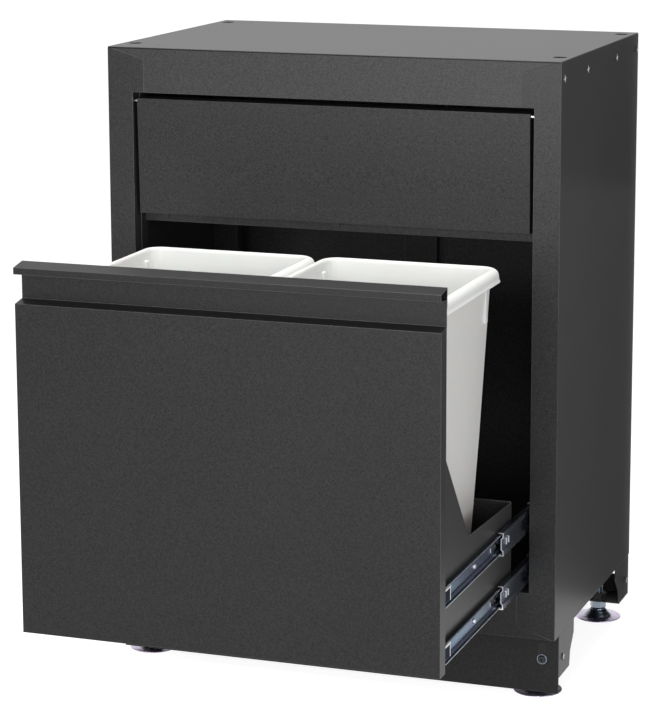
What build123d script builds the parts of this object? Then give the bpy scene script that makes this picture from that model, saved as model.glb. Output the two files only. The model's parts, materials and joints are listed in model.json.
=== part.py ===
from build123d import *
import os
from math import asin, cos, degrees, hypot, radians, sin, sqrt

os.makedirs("parts", exist_ok=True)

# Driving sizes, in millimetres. X runs to the right, Y into the cabinet, Z up from the floor.

# Cabinet shell
width = 680.0
depth = 458.0
height = 920.0
body_bottom = 92.0
sheet = 1.2
bend = 1.4
seam = 0.4
stile_width = 38.5
top_rail_height = 65.5
bottom_rail_height = 67.0
edge_return = 20.0
return_lip = 10.0
ear_width = 17.5
ear_drop = 16.0
back_return = 20.0
top_flange = 35.0
overrun = 5.0

# Fixing holes in the top
top_hole_d = 20.0
top_hole_inset_x = 18.0
top_hole_front = 58.0
top_hole_back = 36.0

# Uprights, rear stiffener and cross rail
post_sheet = 1.5
post_inset = 1.5
post_gap = 1.5
post_width = 22.0
rear_post_back = 62.0
post_top_gap = 2.0
hat_width = 45.0
hat_depth = 14.0
hat_flange = 12.0
hat_end_gap = 28.0
cross_rail_front = 36.5
cross_rail_drop = 15.5
cross_rail_height = 30.0
cross_rail_flange = 14.0
cross_slot_width = 3.0
cross_slot_height = 6.0

# Leg brackets, feet and kick plate
leg_sheet = 2.0
leg_width = 78.0
leg_length = 84.0
leg_bottom = 28.0
leg_waist_z = 50.0
leg_shoulder_z = 72.0
leg_waist_length = 64.0
leg_foot_length = 60.0
leg_top_tab = 30.0
leg_back_gap = 4.0
rear_web_height = 30.0
kick_recess = 25.0
kick_bottom = 5.0
kick_top_gap = 1.5
kick_slot_width = 8.0
kick_slot_height = 27.0
kick_slot_inset = 25.0
kick_screw_z = 54.5
foot_inset_x = 37.0
foot_front = 48.0
foot_back = 50.0
foot_disc_d = 71.0
foot_rim = 2.0
foot_cone_d = 41.0
foot_cone_rise = 1.0
foot_neck_d = 22.0
foot_neck_z = 15.0
foot_dish = 1.0
foot_dish_d = 60.0
stud_d = 14.0
stud_top = 76.0
stud_socket = 6.0
hex_flats = 22.0
hex_height = 12.0
weld_nut_height = 10.0
running_gap = 0.05
plate_hole_gap = 0.5

# Screws
screw_d = 5.0
screw_head_d = 11.0
screw_length = 12.0
screw_gap = 0.1
pan_head_d = 13.0
pan_head_height = 3.5
side_screw_drop = 24.4
side_screw_front = 13.5
side_screw_step = 129.5
leg_screw_z = 54.5
leg_screw_inset = 21.0
back_screw_end = 70.0

# Flap
side_gap = 6.0
flap_top_gap = 8.5
flap_height = 169.0
flap_face = 1.0
flap_set_back = 5.0
flap_depth = 28.0
flap_lip = 9.0
pin_drop = 4.0
pin_back = 6.0
pin_d = 5.0
pin_inset = 3.0
buffer_width = 9.0
buffer_drop = 10.0
buffer_height = 22.0
buffer_spread = 267.0
rest_gap = 0.3

# Pull-out front
pull_out = 404.0
front_sheet = 1.0
front_bottom_gap = 6.0
front_top_gap = 5.0
pan_depth = 22.0
shelf_rise = 4.0
recess_height = 33.0
under_rise = 3.0
lip_height = 9.0
lip_proud = 2.5
grip_rise = 5.0
grip_tail = 26.0
inner_depth = 6.0
inner_margin = 9.5
inner_top_drop = 24.0

# Slides
slide_space = 12.7
slide_sheet = 1.0
slide_low = 188.0
slide_pitch = 76.5
slide_length = 395.0
middle_length = 350.0
slide_start = 24.0
middle_travel = 145.0
middle_height = 33.6
middle_step = 2.6
middle_web_half = 7.0
middle_side = 10.0
middle_flange_end = 2.4
window_length = 5.0
window_height = 9.0
window_first = 14.0
window_step = 11.0
cage_sheet = 0.4
ball_d = 3.2
ball_gap = 0.05
track_angle = 60.0
inner_ball_x = 5.2
inner_ball_z = 14.0
outer_ball_x = 5.6
outer_ball_z = 18.5
inner_cage_length = 110.0
inner_cage_back = 24.0
outer_cage_length = 120.0
outer_cage_start = 60.0
inner_cage_side = 8.9
inner_cage_web = 6.2
outer_cage_web = 11.1
cage_flange_end = 3.0
cage_step_z = 11.4
cage_web_z = 9.6
ball_pitch = 24.0
ball_rows = 3
pocket = 3.8
rail_buffer_length = 22.0
rail_buffer_width = 4.8
rail_buffer_height = 15.0
rail_head_d = 8.0
rail_head_height = 2.2
rail_screw_first = 174.0
rail_screw_second = 330.0
rail_stop_reach = 5.6
rail_stop_height = 17.0
rail_slot_length = 24.0
rail_slot_height = 9.0
rail_slot_first = 235.0
rail_slot_second = 368.0
cabinet_screw_front = 8.0

# Tray
tray_bottom_gap = 7.0
tray_length = 330.0
tray_front_top = 312.0
tray_back_top = 304.0
gusset_length = 123.0
gusset_rise = 155.0
tray_flange = 18.0
hem_d = 4.0
tray_screw_low = 230.0
tray_screw_high = 400.0

# Bins
bin_left_space = 21.6
bin_right_space = 14.0
bin_gap = 3.0
bin_front_gap = 3.0
bin_overhang = 10.0
bin_rim_drop = 17.0
bin_rim_out = 12.0
bin_rim_round = 7.0
bin_skirt = 18.0
bin_wall = 2.5
bin_taper = 29.0
bin_corner = 18.0
bin_base_corner = 14.0
bin_foot_gap = 0.3

# Places worked out from those sizes
half_width = width / 2
inner_x = half_width - sheet
open_x = half_width - stile_width
ear_x = open_x - ear_width
top_z = height - sheet
open_top = height - top_rail_height
open_bottom = body_bottom + bottom_rail_height
face_y = (pull_out + lip_proud - depth) / 2
back_y = face_y + depth
mount_x = open_x - post_inset
front_half = open_x - side_gap
front_y = face_y - pull_out
pan_y = front_y + pan_depth
tray_x = mount_x - slide_space
front_bottom = open_bottom + front_bottom_gap
flap_bottom = open_top - flap_top_gap - flap_height
cross_rail_bottom = flap_bottom - cross_rail_drop
grip_top = flap_bottom - front_top_gap
strip_top = grip_top - grip_rise - lip_height - under_rise
strip_bottom = strip_top - recess_height
face_top = strip_bottom - shelf_rise
gusset_top = tray_front_top + gusset_rise
tray_bottom = front_bottom + tray_bottom_gap
tray_front = pan_y + inner_depth
tray_back = tray_front + tray_length
front_post_y = face_y + edge_return + post_gap
rear_post_y = back_y - rear_post_back
rail_y = face_y + cross_rail_front
foot_x = half_width - foot_inset_x
foot_ys = (face_y + foot_front, back_y - foot_back)
kick_y = face_y + kick_recess
leg_front_y = kick_y + sheet
leg_back_y = back_y - leg_back_gap
slide_heights = {"lower": slide_low, "upper": slide_low + slide_pitch}


def save(piece, name):
    """Labels a finished piece and writes its file."""
    piece.part.label = name
    export_step(piece.part, f"parts/{name}.step")


def save_pair(right, name):
    """Writes a right-hand piece and its mirror image on the left."""
    save(right, f"{name}_right")
    with BuildPart() as left:
        mirror(right.part, about=Plane.YZ)
    save(left, f"{name}_left")


def block(x_ends, y_ends, z_ends, mode=Mode.ADD):
    """Adds or cuts a block between two ends along each axis."""
    with BuildSketch(Plane.XY.offset(z_ends[0])) as shape:
        with Locations((sum(x_ends) / 2, sum(y_ends) / 2)):
            Rectangle(abs(x_ends[1] - x_ends[0]), abs(y_ends[1] - y_ends[0]))
    extrude(shape.sketch, amount=z_ends[1] - z_ends[0], mode=mode)


def slab(plane, points, amount, mode=Mode.ADD):
    """Adds or cuts a flat outline, extruded from its plane."""
    with BuildSketch(plane) as shape:
        with BuildLine():
            Polyline(*points, close=True)
        make_face()
    extrude(shape.sketch, amount=amount, mode=mode)


def folded(plane, points, amount, thickness, side=Side.LEFT):
    """Adds a folded sheet: a path thickened to one side, with round outer bends."""
    with BuildSketch(plane) as shape:
        with BuildLine():
            Polyline(*points)
            offset(amount=thickness, side=side)
        make_face()
    extrude(shape.sketch, amount=amount, both=True)


def round_bar(plane, centre, diameter, amount, mode=Mode.ADD):
    """Adds or cuts a round bar that starts on a plane."""
    with BuildSketch(plane) as shape:
        with Locations(centre):
            Circle(diameter / 2)
    extrude(shape.sketch, amount=amount, mode=mode)


def flush_screw(place, direction):
    """Adds a countersunk screw whose head lies flush with the sheet at place."""
    axis = Plane(origin=place, z_dir=direction)
    with BuildSketch(axis) as wide:
        Circle(screw_head_d / 2 - screw_gap)
    with BuildSketch(axis.offset(sheet)) as narrow:
        Circle(screw_d / 2 + sheet - screw_gap)
    loft([wide.sketch, narrow.sketch])
    with BuildSketch(axis.offset(sheet)) as shank:
        Circle(screw_d / 2)
    extrude(shank.sketch, amount=screw_length)


def flush_hole(place, direction):
    """Cuts the countersunk hole for a flush screw through one sheet."""
    axis = Plane(origin=place, z_dir=direction)
    with BuildSketch(axis) as wide:
        Circle(screw_head_d / 2)
    with BuildSketch(axis.offset(sheet)) as narrow:
        Circle(screw_d / 2 + sheet)
    loft([wide.sketch, narrow.sketch], mode=Mode.SUBTRACT)


# Shell screws: one row along each side's top edge, one on each leg, three up each rear corner
side_screw_z = height - side_screw_drop
side_screw_ys = (
    face_y + side_screw_front,
    face_y + side_screw_front + side_screw_step,
    back_y - side_screw_front - side_screw_step,
    back_y - side_screw_front + back_return / 2 - side_screw_front / 2,
)
back_screw_zs = (
    body_bottom + back_screw_end,
    (body_bottom + height) / 2,
    height - back_screw_end,
)
leg_screw_ys = (leg_front_y + leg_screw_inset, leg_back_y - leg_screw_inset + leg_sheet * 3)

# Side panels: one sheet with the stile, its return and the rear return folded in plan
with BuildPart() as side_panel:
    folded(
        Plane.XY.offset((body_bottom + top_z) / 2),
        [
            (open_x, face_y + edge_return),
            (open_x, face_y),
            (half_width, face_y),
            (half_width, back_y),
            (half_width - back_return, back_y),
        ],
        (top_z - body_bottom) / 2,
        sheet,
    )
    ear_plane = Plane.XZ.offset(-face_y)
    for edge_z, end_z, rise in ((open_top, top_z, -ear_drop), (open_bottom, body_bottom, ear_drop)):
        slab(
            ear_plane,
            [(ear_x, edge_z), (open_x + bend, edge_z), (open_x + bend, end_z), (ear_x, end_z)],
            -sheet,
        )
        slab(
            ear_plane,
            [(ear_x, end_z + rise), (inner_x, end_z), (ear_x, end_z)],
            -sheet,
            Mode.SUBTRACT,
        )
        slab(
            ear_plane.offset(-sheet),
            [(open_x, edge_z), (open_x + sheet, edge_z), (open_x + sheet, end_z), (open_x, end_z)],
            -edge_return,
            Mode.SUBTRACT,
        )
    pin_plane = Plane.YZ.offset(open_x)
    hinge_y = face_y + flap_face + pin_back
    hinge_z = open_top - flap_top_gap - pin_drop
    round_bar(pin_plane, (hinge_y, hinge_z), pin_d, sheet, Mode.SUBTRACT)
    for y in side_screw_ys:
        flush_hole((half_width, y, side_screw_z), (-1, 0, 0))
    for z in back_screw_zs:
        flush_hole((half_width - back_return / 2, back_y, z), (0, -1, 0))
save_pair(side_panel, "side_panel")

# Top panel: front rail, top and rear flange from one sheet, with a flange down inside each side
run = inner_x - ear_x
with BuildPart() as top_panel:
    folded(
        Plane.YZ,
        [
            (face_y + edge_return, open_top),
            (face_y, open_top),
            (face_y, height),
            (back_y, height),
            (back_y, height - back_return),
        ],
        inner_x,
        sheet,
        Side.RIGHT,
    )
    block((-half_width, half_width), (face_y + bend, back_y - bend), (top_z, height))
    for s in (-1, 1):
        slab(
            Plane.XZ.offset(-face_y),
            [
                (s * (ear_x - seam), open_top - overrun),
                (s * (ear_x - seam), top_z - ear_drop + seam),
                (s * (inner_x - seam * run / ear_drop), top_z),
                (s * (half_width + overrun), top_z),
                (s * (half_width + overrun), open_top - overrun),
            ],
            -sheet,
            Mode.SUBTRACT,
        )
        block(
            (s * (open_x - seam), s * half_width),
            (face_y + sheet, face_y + edge_return + overrun),
            (open_top - overrun, top_z),
            Mode.SUBTRACT,
        )
        block(
            (s * (half_width - back_return - seam), s * half_width),
            (back_y - sheet, back_y + overrun),
            (height - back_return - overrun, top_z),
            Mode.SUBTRACT,
        )
        block(
            (s * (inner_x - sheet), s * inner_x),
            (face_y + sheet + seam, back_y - sheet * 2 - seam),
            (height - top_flange, top_z),
        )
        for y in side_screw_ys:
            round_bar(
                Plane.YZ.offset(s * inner_x),
                (y, side_screw_z),
                screw_d + sheet * 2,
                -s * sheet,
                Mode.SUBTRACT,
            )
        for y in (face_y + top_hole_front, back_y - top_hole_back):
            round_bar(
                Plane.XY.offset(top_z),
                (s * (half_width - top_hole_inset_x), y),
                top_hole_d,
                sheet,
                Mode.SUBTRACT,
            )
save(top_panel, "top_panel")

# Bottom panel: front rail, floor and rear flange from one sheet
with BuildPart() as bottom_panel:
    folded(
        Plane.YZ,
        [
            (face_y + edge_return, open_bottom - return_lip),
            (face_y + edge_return, open_bottom),
            (face_y, open_bottom),
            (face_y, body_bottom),
            (back_y, body_bottom),
            (back_y, body_bottom + back_return),
        ],
        inner_x,
        sheet,
    )
    for s in (-1, 1):
        slab(
            Plane.XZ.offset(-face_y),
            [
                (s * (ear_x - seam), open_bottom + overrun),
                (s * (ear_x - seam), body_bottom + ear_drop - seam),
                (s * (inner_x - seam * run / ear_drop), body_bottom),
                (s * (half_width + overrun), body_bottom),
                (s * (half_width + overrun), open_bottom + overrun),
            ],
            -sheet,
            Mode.SUBTRACT,
        )
        block(
            (s * (open_x - seam), s * half_width),
            (face_y + sheet, face_y + edge_return + overrun),
            (body_bottom + sheet, open_bottom + overrun),
            Mode.SUBTRACT,
        )
        block(
            (s * (half_width - back_return - seam), s * half_width),
            (back_y - sheet, back_y + overrun),
            (body_bottom - overrun, body_bottom + back_return + overrun),
            Mode.SUBTRACT,
        )
save(bottom_panel, "bottom_panel")

# Back panel and its hat-shaped stiffener
back_face = back_y - sheet
with BuildPart() as back_panel:
    block(
        (-inner_x + seam, inner_x - seam),
        (back_face - sheet, back_face),
        (body_bottom + sheet + seam, top_z - seam),
    )
    for s in (-1, 1):
        for z in back_screw_zs:
            round_bar(
                Plane.XZ.offset(-back_face),
                (s * (half_width - back_return / 2), z),
                screw_d + sheet * 2,
                sheet,
                Mode.SUBTRACT,
            )
save(back_panel, "back_panel")

with BuildPart() as back_stiffener:
    hat_y = back_face - sheet
    half_hat = hat_width / 2
    folded(
        Plane.XY.offset((body_bottom + top_z) / 2),
        [
            (-half_hat - hat_flange, hat_y),
            (-half_hat, hat_y),
            (-half_hat, hat_y - hat_depth),
            (half_hat, hat_y - hat_depth),
            (half_hat, hat_y),
            (half_hat + hat_flange, hat_y),
        ],
        (top_z - body_bottom) / 2 - hat_end_gap,
        sheet,
        Side.RIGHT,
    )
save(back_stiffener, "back_stiffener")

# Uprights: channels welded inside each side, which carry the slides
post_bottom = body_bottom + sheet
post_top = height - top_flange - post_top_gap
for name, post_y in (("upright_front", front_post_y), ("upright_rear", rear_post_y)):
    with BuildPart() as upright:
        folded(
            Plane.XY.offset((post_bottom + post_top) / 2),
            [
                (inner_x, post_y + post_width),
                (mount_x, post_y + post_width),
                (mount_x, post_y),
                (inner_x, post_y),
            ],
            (post_top - post_bottom) / 2,
            post_sheet,
        )
        for z in slide_heights.values():
            round_bar(
                Plane.YZ.offset(mount_x),
                (post_y + cabinet_screw_front, z),
                screw_d + screw_gap * 2,
                post_sheet,
                Mode.SUBTRACT,
            )
    save_pair(upright, name)

# Cross rail behind the flap, with a short slot above each buffer
with BuildPart() as cross_rail:
    folded(
        Plane.YZ,
        [
            (rail_y + cross_rail_flange, cross_rail_bottom),
            (rail_y, cross_rail_bottom),
            (rail_y, cross_rail_bottom + cross_rail_height),
            (rail_y + cross_rail_flange, cross_rail_bottom + cross_rail_height),
        ],
        mount_x,
        sheet,
        Side.RIGHT,
    )
save(cross_rail, "cross_rail")

# Flap: a shallow pan that hangs from its two pins, its lower edge resting a little way back
tilt = degrees(asin(flap_set_back / (flap_height - pin_drop)))
flap_plane = Plane(origin=(0, hinge_y, hinge_z), x_dir=(1, 0, 0), z_dir=(0, -cos(radians(tilt)), -sin(radians(tilt))))
flap_top = pin_drop
flap_foot = pin_drop - flap_height
flap_front = pin_back
with BuildPart() as flap_panel:
    with BuildSketch(flap_plane.offset(flap_front - flap_depth)):
        with Locations((0, (flap_top + flap_foot) / 2)):
            Rectangle(front_half * 2, flap_height)
    extrude(amount=flap_depth)
    with BuildSketch(flap_plane.offset(flap_front - flap_depth)):
        with Locations((0, (flap_top + flap_foot) / 2)):
            Rectangle((front_half - sheet) * 2, flap_height - sheet * 2)
    extrude(amount=flap_depth - sheet, mode=Mode.SUBTRACT)
    for low, high in ((flap_foot, flap_foot + flap_lip), (flap_top - flap_lip, flap_top)):
        with BuildSketch(flap_plane.offset(flap_front - flap_depth)):
            with Locations((0, (low + high) / 2)):
                Rectangle((front_half - sheet) * 2, high - low)
        extrude(amount=sheet)
    front_edges = flap_panel.edges().filter_by_position(
        Axis.Y, face_y - overrun, face_y + flap_face + flap_set_back + sheet / 2
    )
    fillet(front_edges, bend / 2)
    for s in (-1, 1):
        round_bar(
            Plane.YZ.offset(s * front_half),
            (hinge_y, hinge_z),
            pin_d + running_gap * 2,
            -s * sheet,
            Mode.SUBTRACT,
        )
save(flap_panel, "flap_panel")

with BuildPart() as flap_pins:
    for s in (-1, 1):
        round_bar(
            Plane.YZ.offset(s * (open_x + sheet)),
            (hinge_y, hinge_z),
            pin_d,
            -s * (sheet + side_gap + pin_inset),
        )
save(flap_pins, "flap_pins")

# Buffers: small rubber blocks on the cross rail that the flap's lower edge leans on
flap_rear_low = hinge_y + (flap_depth - flap_front) * cos(radians(tilt)) - flap_foot * sin(radians(tilt))
with BuildPart() as flap_buffers:
    for x in (-buffer_spread, 0, buffer_spread):
        block(
            (x - buffer_width / 2, x + buffer_width / 2),
            (flap_rear_low + rest_gap, rail_y),
            (flap_bottom - buffer_drop, flap_bottom - buffer_drop + buffer_height),
        )
save(flap_buffers, "flap_buffers")

# Leg brackets: a folded box under each corner, with a nut welded over the hole for the foot
for name, edge_y, way in (("leg_bracket_front", leg_front_y, 1), ("leg_bracket_rear", leg_back_y, -1)):
    web_top = body_bottom if way > 0 else leg_bottom + rear_web_height
    foot_y = foot_ys[0] if way > 0 else foot_ys[1]
    leg_screw_y = leg_screw_ys[0] if way > 0 else leg_screw_ys[1]
    outline = [
        (edge_y, leg_bottom),
        (edge_y, body_bottom),
        (edge_y + way * leg_length, body_bottom),
        (edge_y + way * leg_length, leg_shoulder_z),
        (edge_y + way * leg_waist_length, leg_waist_z),
        (edge_y + way * leg_foot_length, leg_bottom),
    ]
    inner_leg_x = half_width - leg_width
    with BuildPart() as leg_bracket:
        slab(Plane.YZ.offset(half_width), outline, -leg_sheet)
        slab(Plane.YZ.offset(inner_leg_x), outline, leg_sheet)
        block(
            (inner_leg_x, half_width),
            (edge_y, edge_y + way * leg_foot_length),
            (leg_bottom, leg_bottom + leg_sheet),
        )
        block((inner_leg_x, half_width), (edge_y, edge_y + way * leg_sheet), (leg_bottom, web_top))
        block(
            (inner_leg_x, half_width),
            (edge_y + way * (leg_length - leg_top_tab), edge_y + way * leg_length),
            (body_bottom - leg_sheet, body_bottom),
        )
        round_bar(
            Plane.XY.offset(leg_bottom),
            (foot_x, foot_y),
            stud_d + plate_hole_gap * 2,
            leg_sheet,
            Mode.SUBTRACT,
        )
        with BuildSketch(Plane.XY.offset(leg_bottom + leg_sheet)):
            with Locations((foot_x, foot_y)):
                RegularPolygon(hex_flats / 2, side_count=6, major_radius=False)
                Circle(stud_d / 2 + running_gap, mode=Mode.SUBTRACT)
        extrude(amount=weld_nut_height)
        round_bar(
            Plane.YZ.offset(half_width),
            (leg_screw_y, leg_screw_z),
            screw_head_d,
            -sheet,
            Mode.SUBTRACT,
        )
        round_bar(
            Plane.YZ.offset(half_width),
            (leg_screw_y, leg_screw_z),
            screw_d + screw_gap * 2,
            -leg_sheet,
            Mode.SUBTRACT,
        )
        if way > 0:
            round_bar(
                Plane.XZ.offset(-edge_y),
                (half_width - kick_slot_inset, kick_screw_z),
                screw_d + screw_gap * 2,
                -leg_sheet,
                Mode.SUBTRACT,
            )
    save_pair(leg_bracket, name)

# Levelling feet: a pressed steel base with a cone, and a threaded stud with its hexagon
for end, foot_y in (("front", foot_ys[0]), ("rear", foot_ys[1])):
    with BuildPart() as foot_base:
        with BuildSketch(Plane(origin=(foot_x, foot_y, 0), x_dir=(1, 0, 0), z_dir=(0, -1, 0))):
            with BuildLine():
                Polyline(
                    (0, foot_dish),
                    (foot_dish_d / 2 - foot_rim, foot_dish),
                    (foot_dish_d / 2, 0),
                    (foot_disc_d / 2, 0),
                    (foot_disc_d / 2, foot_rim / 2),
                    (foot_cone_d / 2, foot_rim + foot_cone_rise),
                    (foot_neck_d / 2, foot_neck_z),
                    (stud_d / 2, foot_neck_z),
                    (stud_d / 2, stud_socket),
                    (0, stud_socket),
                    close=True,
                )
            make_face()
        revolve(axis=Axis((foot_x, foot_y, 0), (0, 0, 1)))
    save_pair(foot_base, f"foot_base_{end}")
    with BuildPart() as foot_stud:
        round_bar(Plane.XY.offset(stud_socket), (foot_x, foot_y), stud_d, stud_top - stud_socket)
        chamfer(foot_stud.edges().group_by(Axis.Z)[-1], foot_rim / 2)
        with BuildSketch(Plane.XY.offset(leg_bottom - hex_height - rest_gap)):
            with Locations((foot_x, foot_y)):
                RegularPolygon(hex_flats / 2, side_count=6, major_radius=False)
        extrude(amount=hex_height)
    save_pair(foot_stud, f"foot_stud_{end}")

# Kick plate, held by a screw through an upright slot at each end
with BuildPart() as kick_plate:
    block((-half_width, half_width), (kick_y, kick_y + sheet), (kick_bottom, body_bottom - kick_top_gap))
    for s in (-1, 1):
        with BuildSketch(Plane.XZ.offset(-kick_y)):
            slot_z = kick_screw_z - kick_slot_width / 2 + kick_slot_height / 2
            with Locations((s * (half_width - kick_slot_inset), slot_z)):
                SlotOverall(kick_slot_height, kick_slot_width, rotation=90)
        extrude(amount=-sheet, mode=Mode.SUBTRACT)
save(kick_plate, "kick_plate")

with BuildPart() as kick_plate_screws:
    for s in (-1, 1):
        centre = (s * (half_width - kick_slot_inset), kick_screw_z)
        round_bar(Plane.XZ.offset(-kick_y), centre, pan_head_d, pan_head_height)
        fillet(kick_plate_screws.faces().sort_by(Axis.Y)[0].edges(), pan_head_height / 2)
        round_bar(Plane.XZ.offset(-kick_y), centre, screw_d, -screw_length)
save(kick_plate_screws, "kick_plate_screws")

with BuildPart() as leg_screws:
    for s in (-1, 1):
        for y in leg_screw_ys:
            round_bar(Plane.YZ.offset(s * half_width), (y, leg_screw_z), screw_head_d - screw_gap, -s * sheet)
            round_bar(Plane.YZ.offset(s * half_width), (y, leg_screw_z), screw_d, -s * screw_length)
save(leg_screws, "leg_screws")

# Slides, drawn for the right-hand side. Local x runs from the tray's side out to the upright.
rail_screw_ys = (front_y + rail_screw_first, front_y + rail_screw_second)


def track(centre_x, centre_z, way, near_first):
    """Gives points round a ball track: an arc about the ball's centre, above or below it."""
    radius = ball_d / 2 + ball_gap
    ends = (-track_angle, -track_angle / 2, 0, track_angle / 2, track_angle)
    steps = ends if near_first else ends[::-1]
    return [
        (centre_x + radius * sin(radians(a)), centre_z + way * radius * cos(radians(a)))
        for a in steps
    ]


def drawer_rail(z):
    """The rail on the tray's side, with a track for the inner balls along each edge."""
    start = tray_front
    with BuildPart() as rail:
        plane = Plane(origin=(tray_x, start, z), x_dir=(1, 0, 0), z_dir=(0, -1, 0))
        web_top = inner_ball_z - ball_d - slide_sheet
        with BuildSketch(plane):
            with BuildLine():
                Polyline((0, 0), (0, web_top), *track(inner_ball_x, inner_ball_z, -1, True))
                offset(amount=slide_sheet, side=Side.RIGHT)
            make_face()
            mirror(about=Plane.XZ)
        extrude(amount=-slide_length)
        for y in rail_screw_ys:
            with BuildSketch(Plane.YZ.offset(tray_x)):
                with Locations((y, z)):
                    Circle(screw_d / 2 + screw_gap)
            extrude(amount=slide_sheet, mode=Mode.SUBTRACT)
        with BuildSketch(Plane.YZ.offset(tray_x)):
            with Locations(*[(start + slot, z) for slot in (rail_slot_first, rail_slot_second)]):
                SlotOverall(rail_slot_length, rail_slot_height)
        extrude(amount=slide_sheet, mode=Mode.SUBTRACT)
        stop = start + rail_buffer_length
        block(
            (tray_x, tray_x + rail_stop_reach),
            (stop, stop + slide_sheet),
            (z - rail_stop_height / 2, z + rail_stop_height / 2),
        )
        with BuildSketch(Plane.YZ.offset(tray_x)):
            with Locations((stop + slide_sheet + rail_stop_reach / 2, z)):
                Rectangle(rail_stop_reach, rail_stop_height)
        extrude(amount=slide_sheet, mode=Mode.SUBTRACT)
    return rail


def middle_rail(z):
    """The telescoping rail: a stepped web with a flange between the two rows of balls."""
    start = face_y + slide_start - middle_travel
    edge = middle_height / 2
    with BuildPart() as rail:
        plane = Plane(origin=(tray_x, start, z), x_dir=(1, 0, 0), z_dir=(0, -1, 0))
        with BuildSketch(plane):
            with BuildLine():
                Polyline(
                    (middle_side + slide_sheet / 2 - middle_step, 0),
                    (middle_side + slide_sheet / 2 - middle_step, middle_web_half),
                    (middle_side + slide_sheet / 2, middle_web_half + middle_step),
                    (middle_side + slide_sheet / 2, edge),
                    (middle_flange_end, edge),
                )
                offset(amount=slide_sheet, side=Side.LEFT)
            make_face()
            mirror(about=Plane.XZ)
        extrude(amount=-middle_length)
        for step in (0, 1):
            low = start + window_first + step * window_step
            with BuildSketch(Plane.YZ.offset(tray_x)):
                with Locations((low + window_length / 2, z)):
                    Rectangle(window_length, window_height)
            extrude(amount=slide_space, mode=Mode.SUBTRACT)
    return rail


def cabinet_rail(z):
    """The rail on the uprights, with a track for the outer balls along each edge."""
    with BuildPart() as rail:
        plane = Plane(origin=(tray_x, face_y + slide_start, z), x_dir=(1, 0, 0), z_dir=(0, -1, 0))
        inside = slide_space - slide_sheet
        corner_z = outer_ball_z + ball_d / 2
        with BuildSketch(plane):
            with BuildLine():
                Polyline(
                    (inside, 0),
                    (inside, corner_z - slide_sheet),
                    (inside - slide_sheet, corner_z),
                    *track(outer_ball_x, outer_ball_z, 1, False),
                )
                offset(amount=slide_sheet, side=Side.RIGHT)
            make_face()
            mirror(about=Plane.XZ)
        extrude(amount=-slide_length)
        for post_y in (front_post_y, rear_post_y):
            axis = Plane(origin=(tray_x + inside, post_y + cabinet_screw_front, z), z_dir=(1, 0, 0))
            with BuildSketch(axis):
                Circle(screw_head_d / 2 - slide_sheet)
            with BuildSketch(axis.offset(slide_sheet)):
                Circle(screw_d / 2 + screw_gap)
            loft(mode=Mode.SUBTRACT)
    return rail


def balls_along(start, count):
    """Gives the places of a row of balls behind a cage's front end."""
    return [start + ball_pitch * (n + 1) for n in range(count)]


def caged_balls(points, length, start, z, ball_x, ball_z):
    """A ball cage with its pockets, and the balls in them as separate solids."""
    places = [(y, s) for y in balls_along(start, ball_rows) for s in (-1, 1)]
    with BuildPart() as cage:
        plane = Plane(origin=(tray_x, start, z), x_dir=(1, 0, 0), z_dir=(0, -1, 0))
        with BuildSketch(plane):
            with BuildLine():
                Polyline(*points)
                offset(amount=cage_sheet, side=Side.LEFT, kind=Kind.INTERSECTION)
            make_face()
            mirror(about=Plane.XZ)
        extrude(amount=-length)
        for y, s in places:
            block(
                (tray_x + ball_x - pocket / 2, tray_x + ball_x + pocket / 2),
                (y - pocket / 2, y + pocket / 2),
                (z + s * ball_z - pocket / 2, z + s * ball_z + pocket / 2),
                Mode.SUBTRACT,
            )
        with Locations([(tray_x + ball_x, y, z + s * ball_z) for y, s in places]):
            Sphere(ball_d / 2)
    return cage


def inner_cage(z):
    """The cage between the drawer rail and the middle rail, ahead of the middle rail's end."""
    start = face_y + slide_start - middle_travel + inner_cage_back
    side = inner_cage_side + cage_sheet / 2
    web = inner_cage_web + cage_sheet / 2
    points = [
        (web, 0),
        (web, cage_web_z),
        (side, cage_step_z),
        (side, inner_ball_z + cage_sheet / 2),
        (cage_flange_end, inner_ball_z + cage_sheet / 2),
    ]
    return caged_balls(points, inner_cage_length, start, z, inner_ball_x, inner_ball_z)


def outer_cage(z):
    """The cage between the middle rail and the cabinet rail."""
    start = face_y + outer_cage_start
    web = outer_cage_web + cage_sheet / 2
    points = [
        (web, 0),
        (web, outer_ball_z + cage_sheet / 2),
        (cage_flange_end, outer_ball_z + cage_sheet / 2),
    ]
    return caged_balls(points, outer_cage_length, start, z, outer_ball_x, outer_ball_z)


for level, slide_z in slide_heights.items():
    save_pair(drawer_rail(slide_z), f"drawer_rail_{level}")
    save_pair(middle_rail(slide_z), f"middle_rail_{level}")
    save_pair(cabinet_rail(slide_z), f"cabinet_rail_{level}")
    save_pair(inner_cage(slide_z), f"inner_cage_{level}")
    save_pair(outer_cage(slide_z), f"outer_cage_{level}")

# Screws of the tray, screws of the shell and its rails, and the drawer rails' rubber stops
with BuildPart() as tray_screws:
    for s in (-1, 1):
        for z in slide_heights.values():
            for y in rail_screw_ys:
                head = Plane.YZ.offset(s * (tray_x + slide_sheet))
                round_bar(head, (y, z), rail_head_d, s * rail_head_height)
                round_bar(head, (y, z), screw_d, -s * (slide_sheet + sheet + slide_sheet))
        for z in (tray_screw_low, tray_screw_high):
            centre = (s * (tray_x - tray_flange / 2 - sheet), z)
            round_bar(Plane.XZ.offset(-(tray_front + sheet)), centre, rail_head_d, -rail_head_height)
save(tray_screws, "tray_screws")

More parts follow.
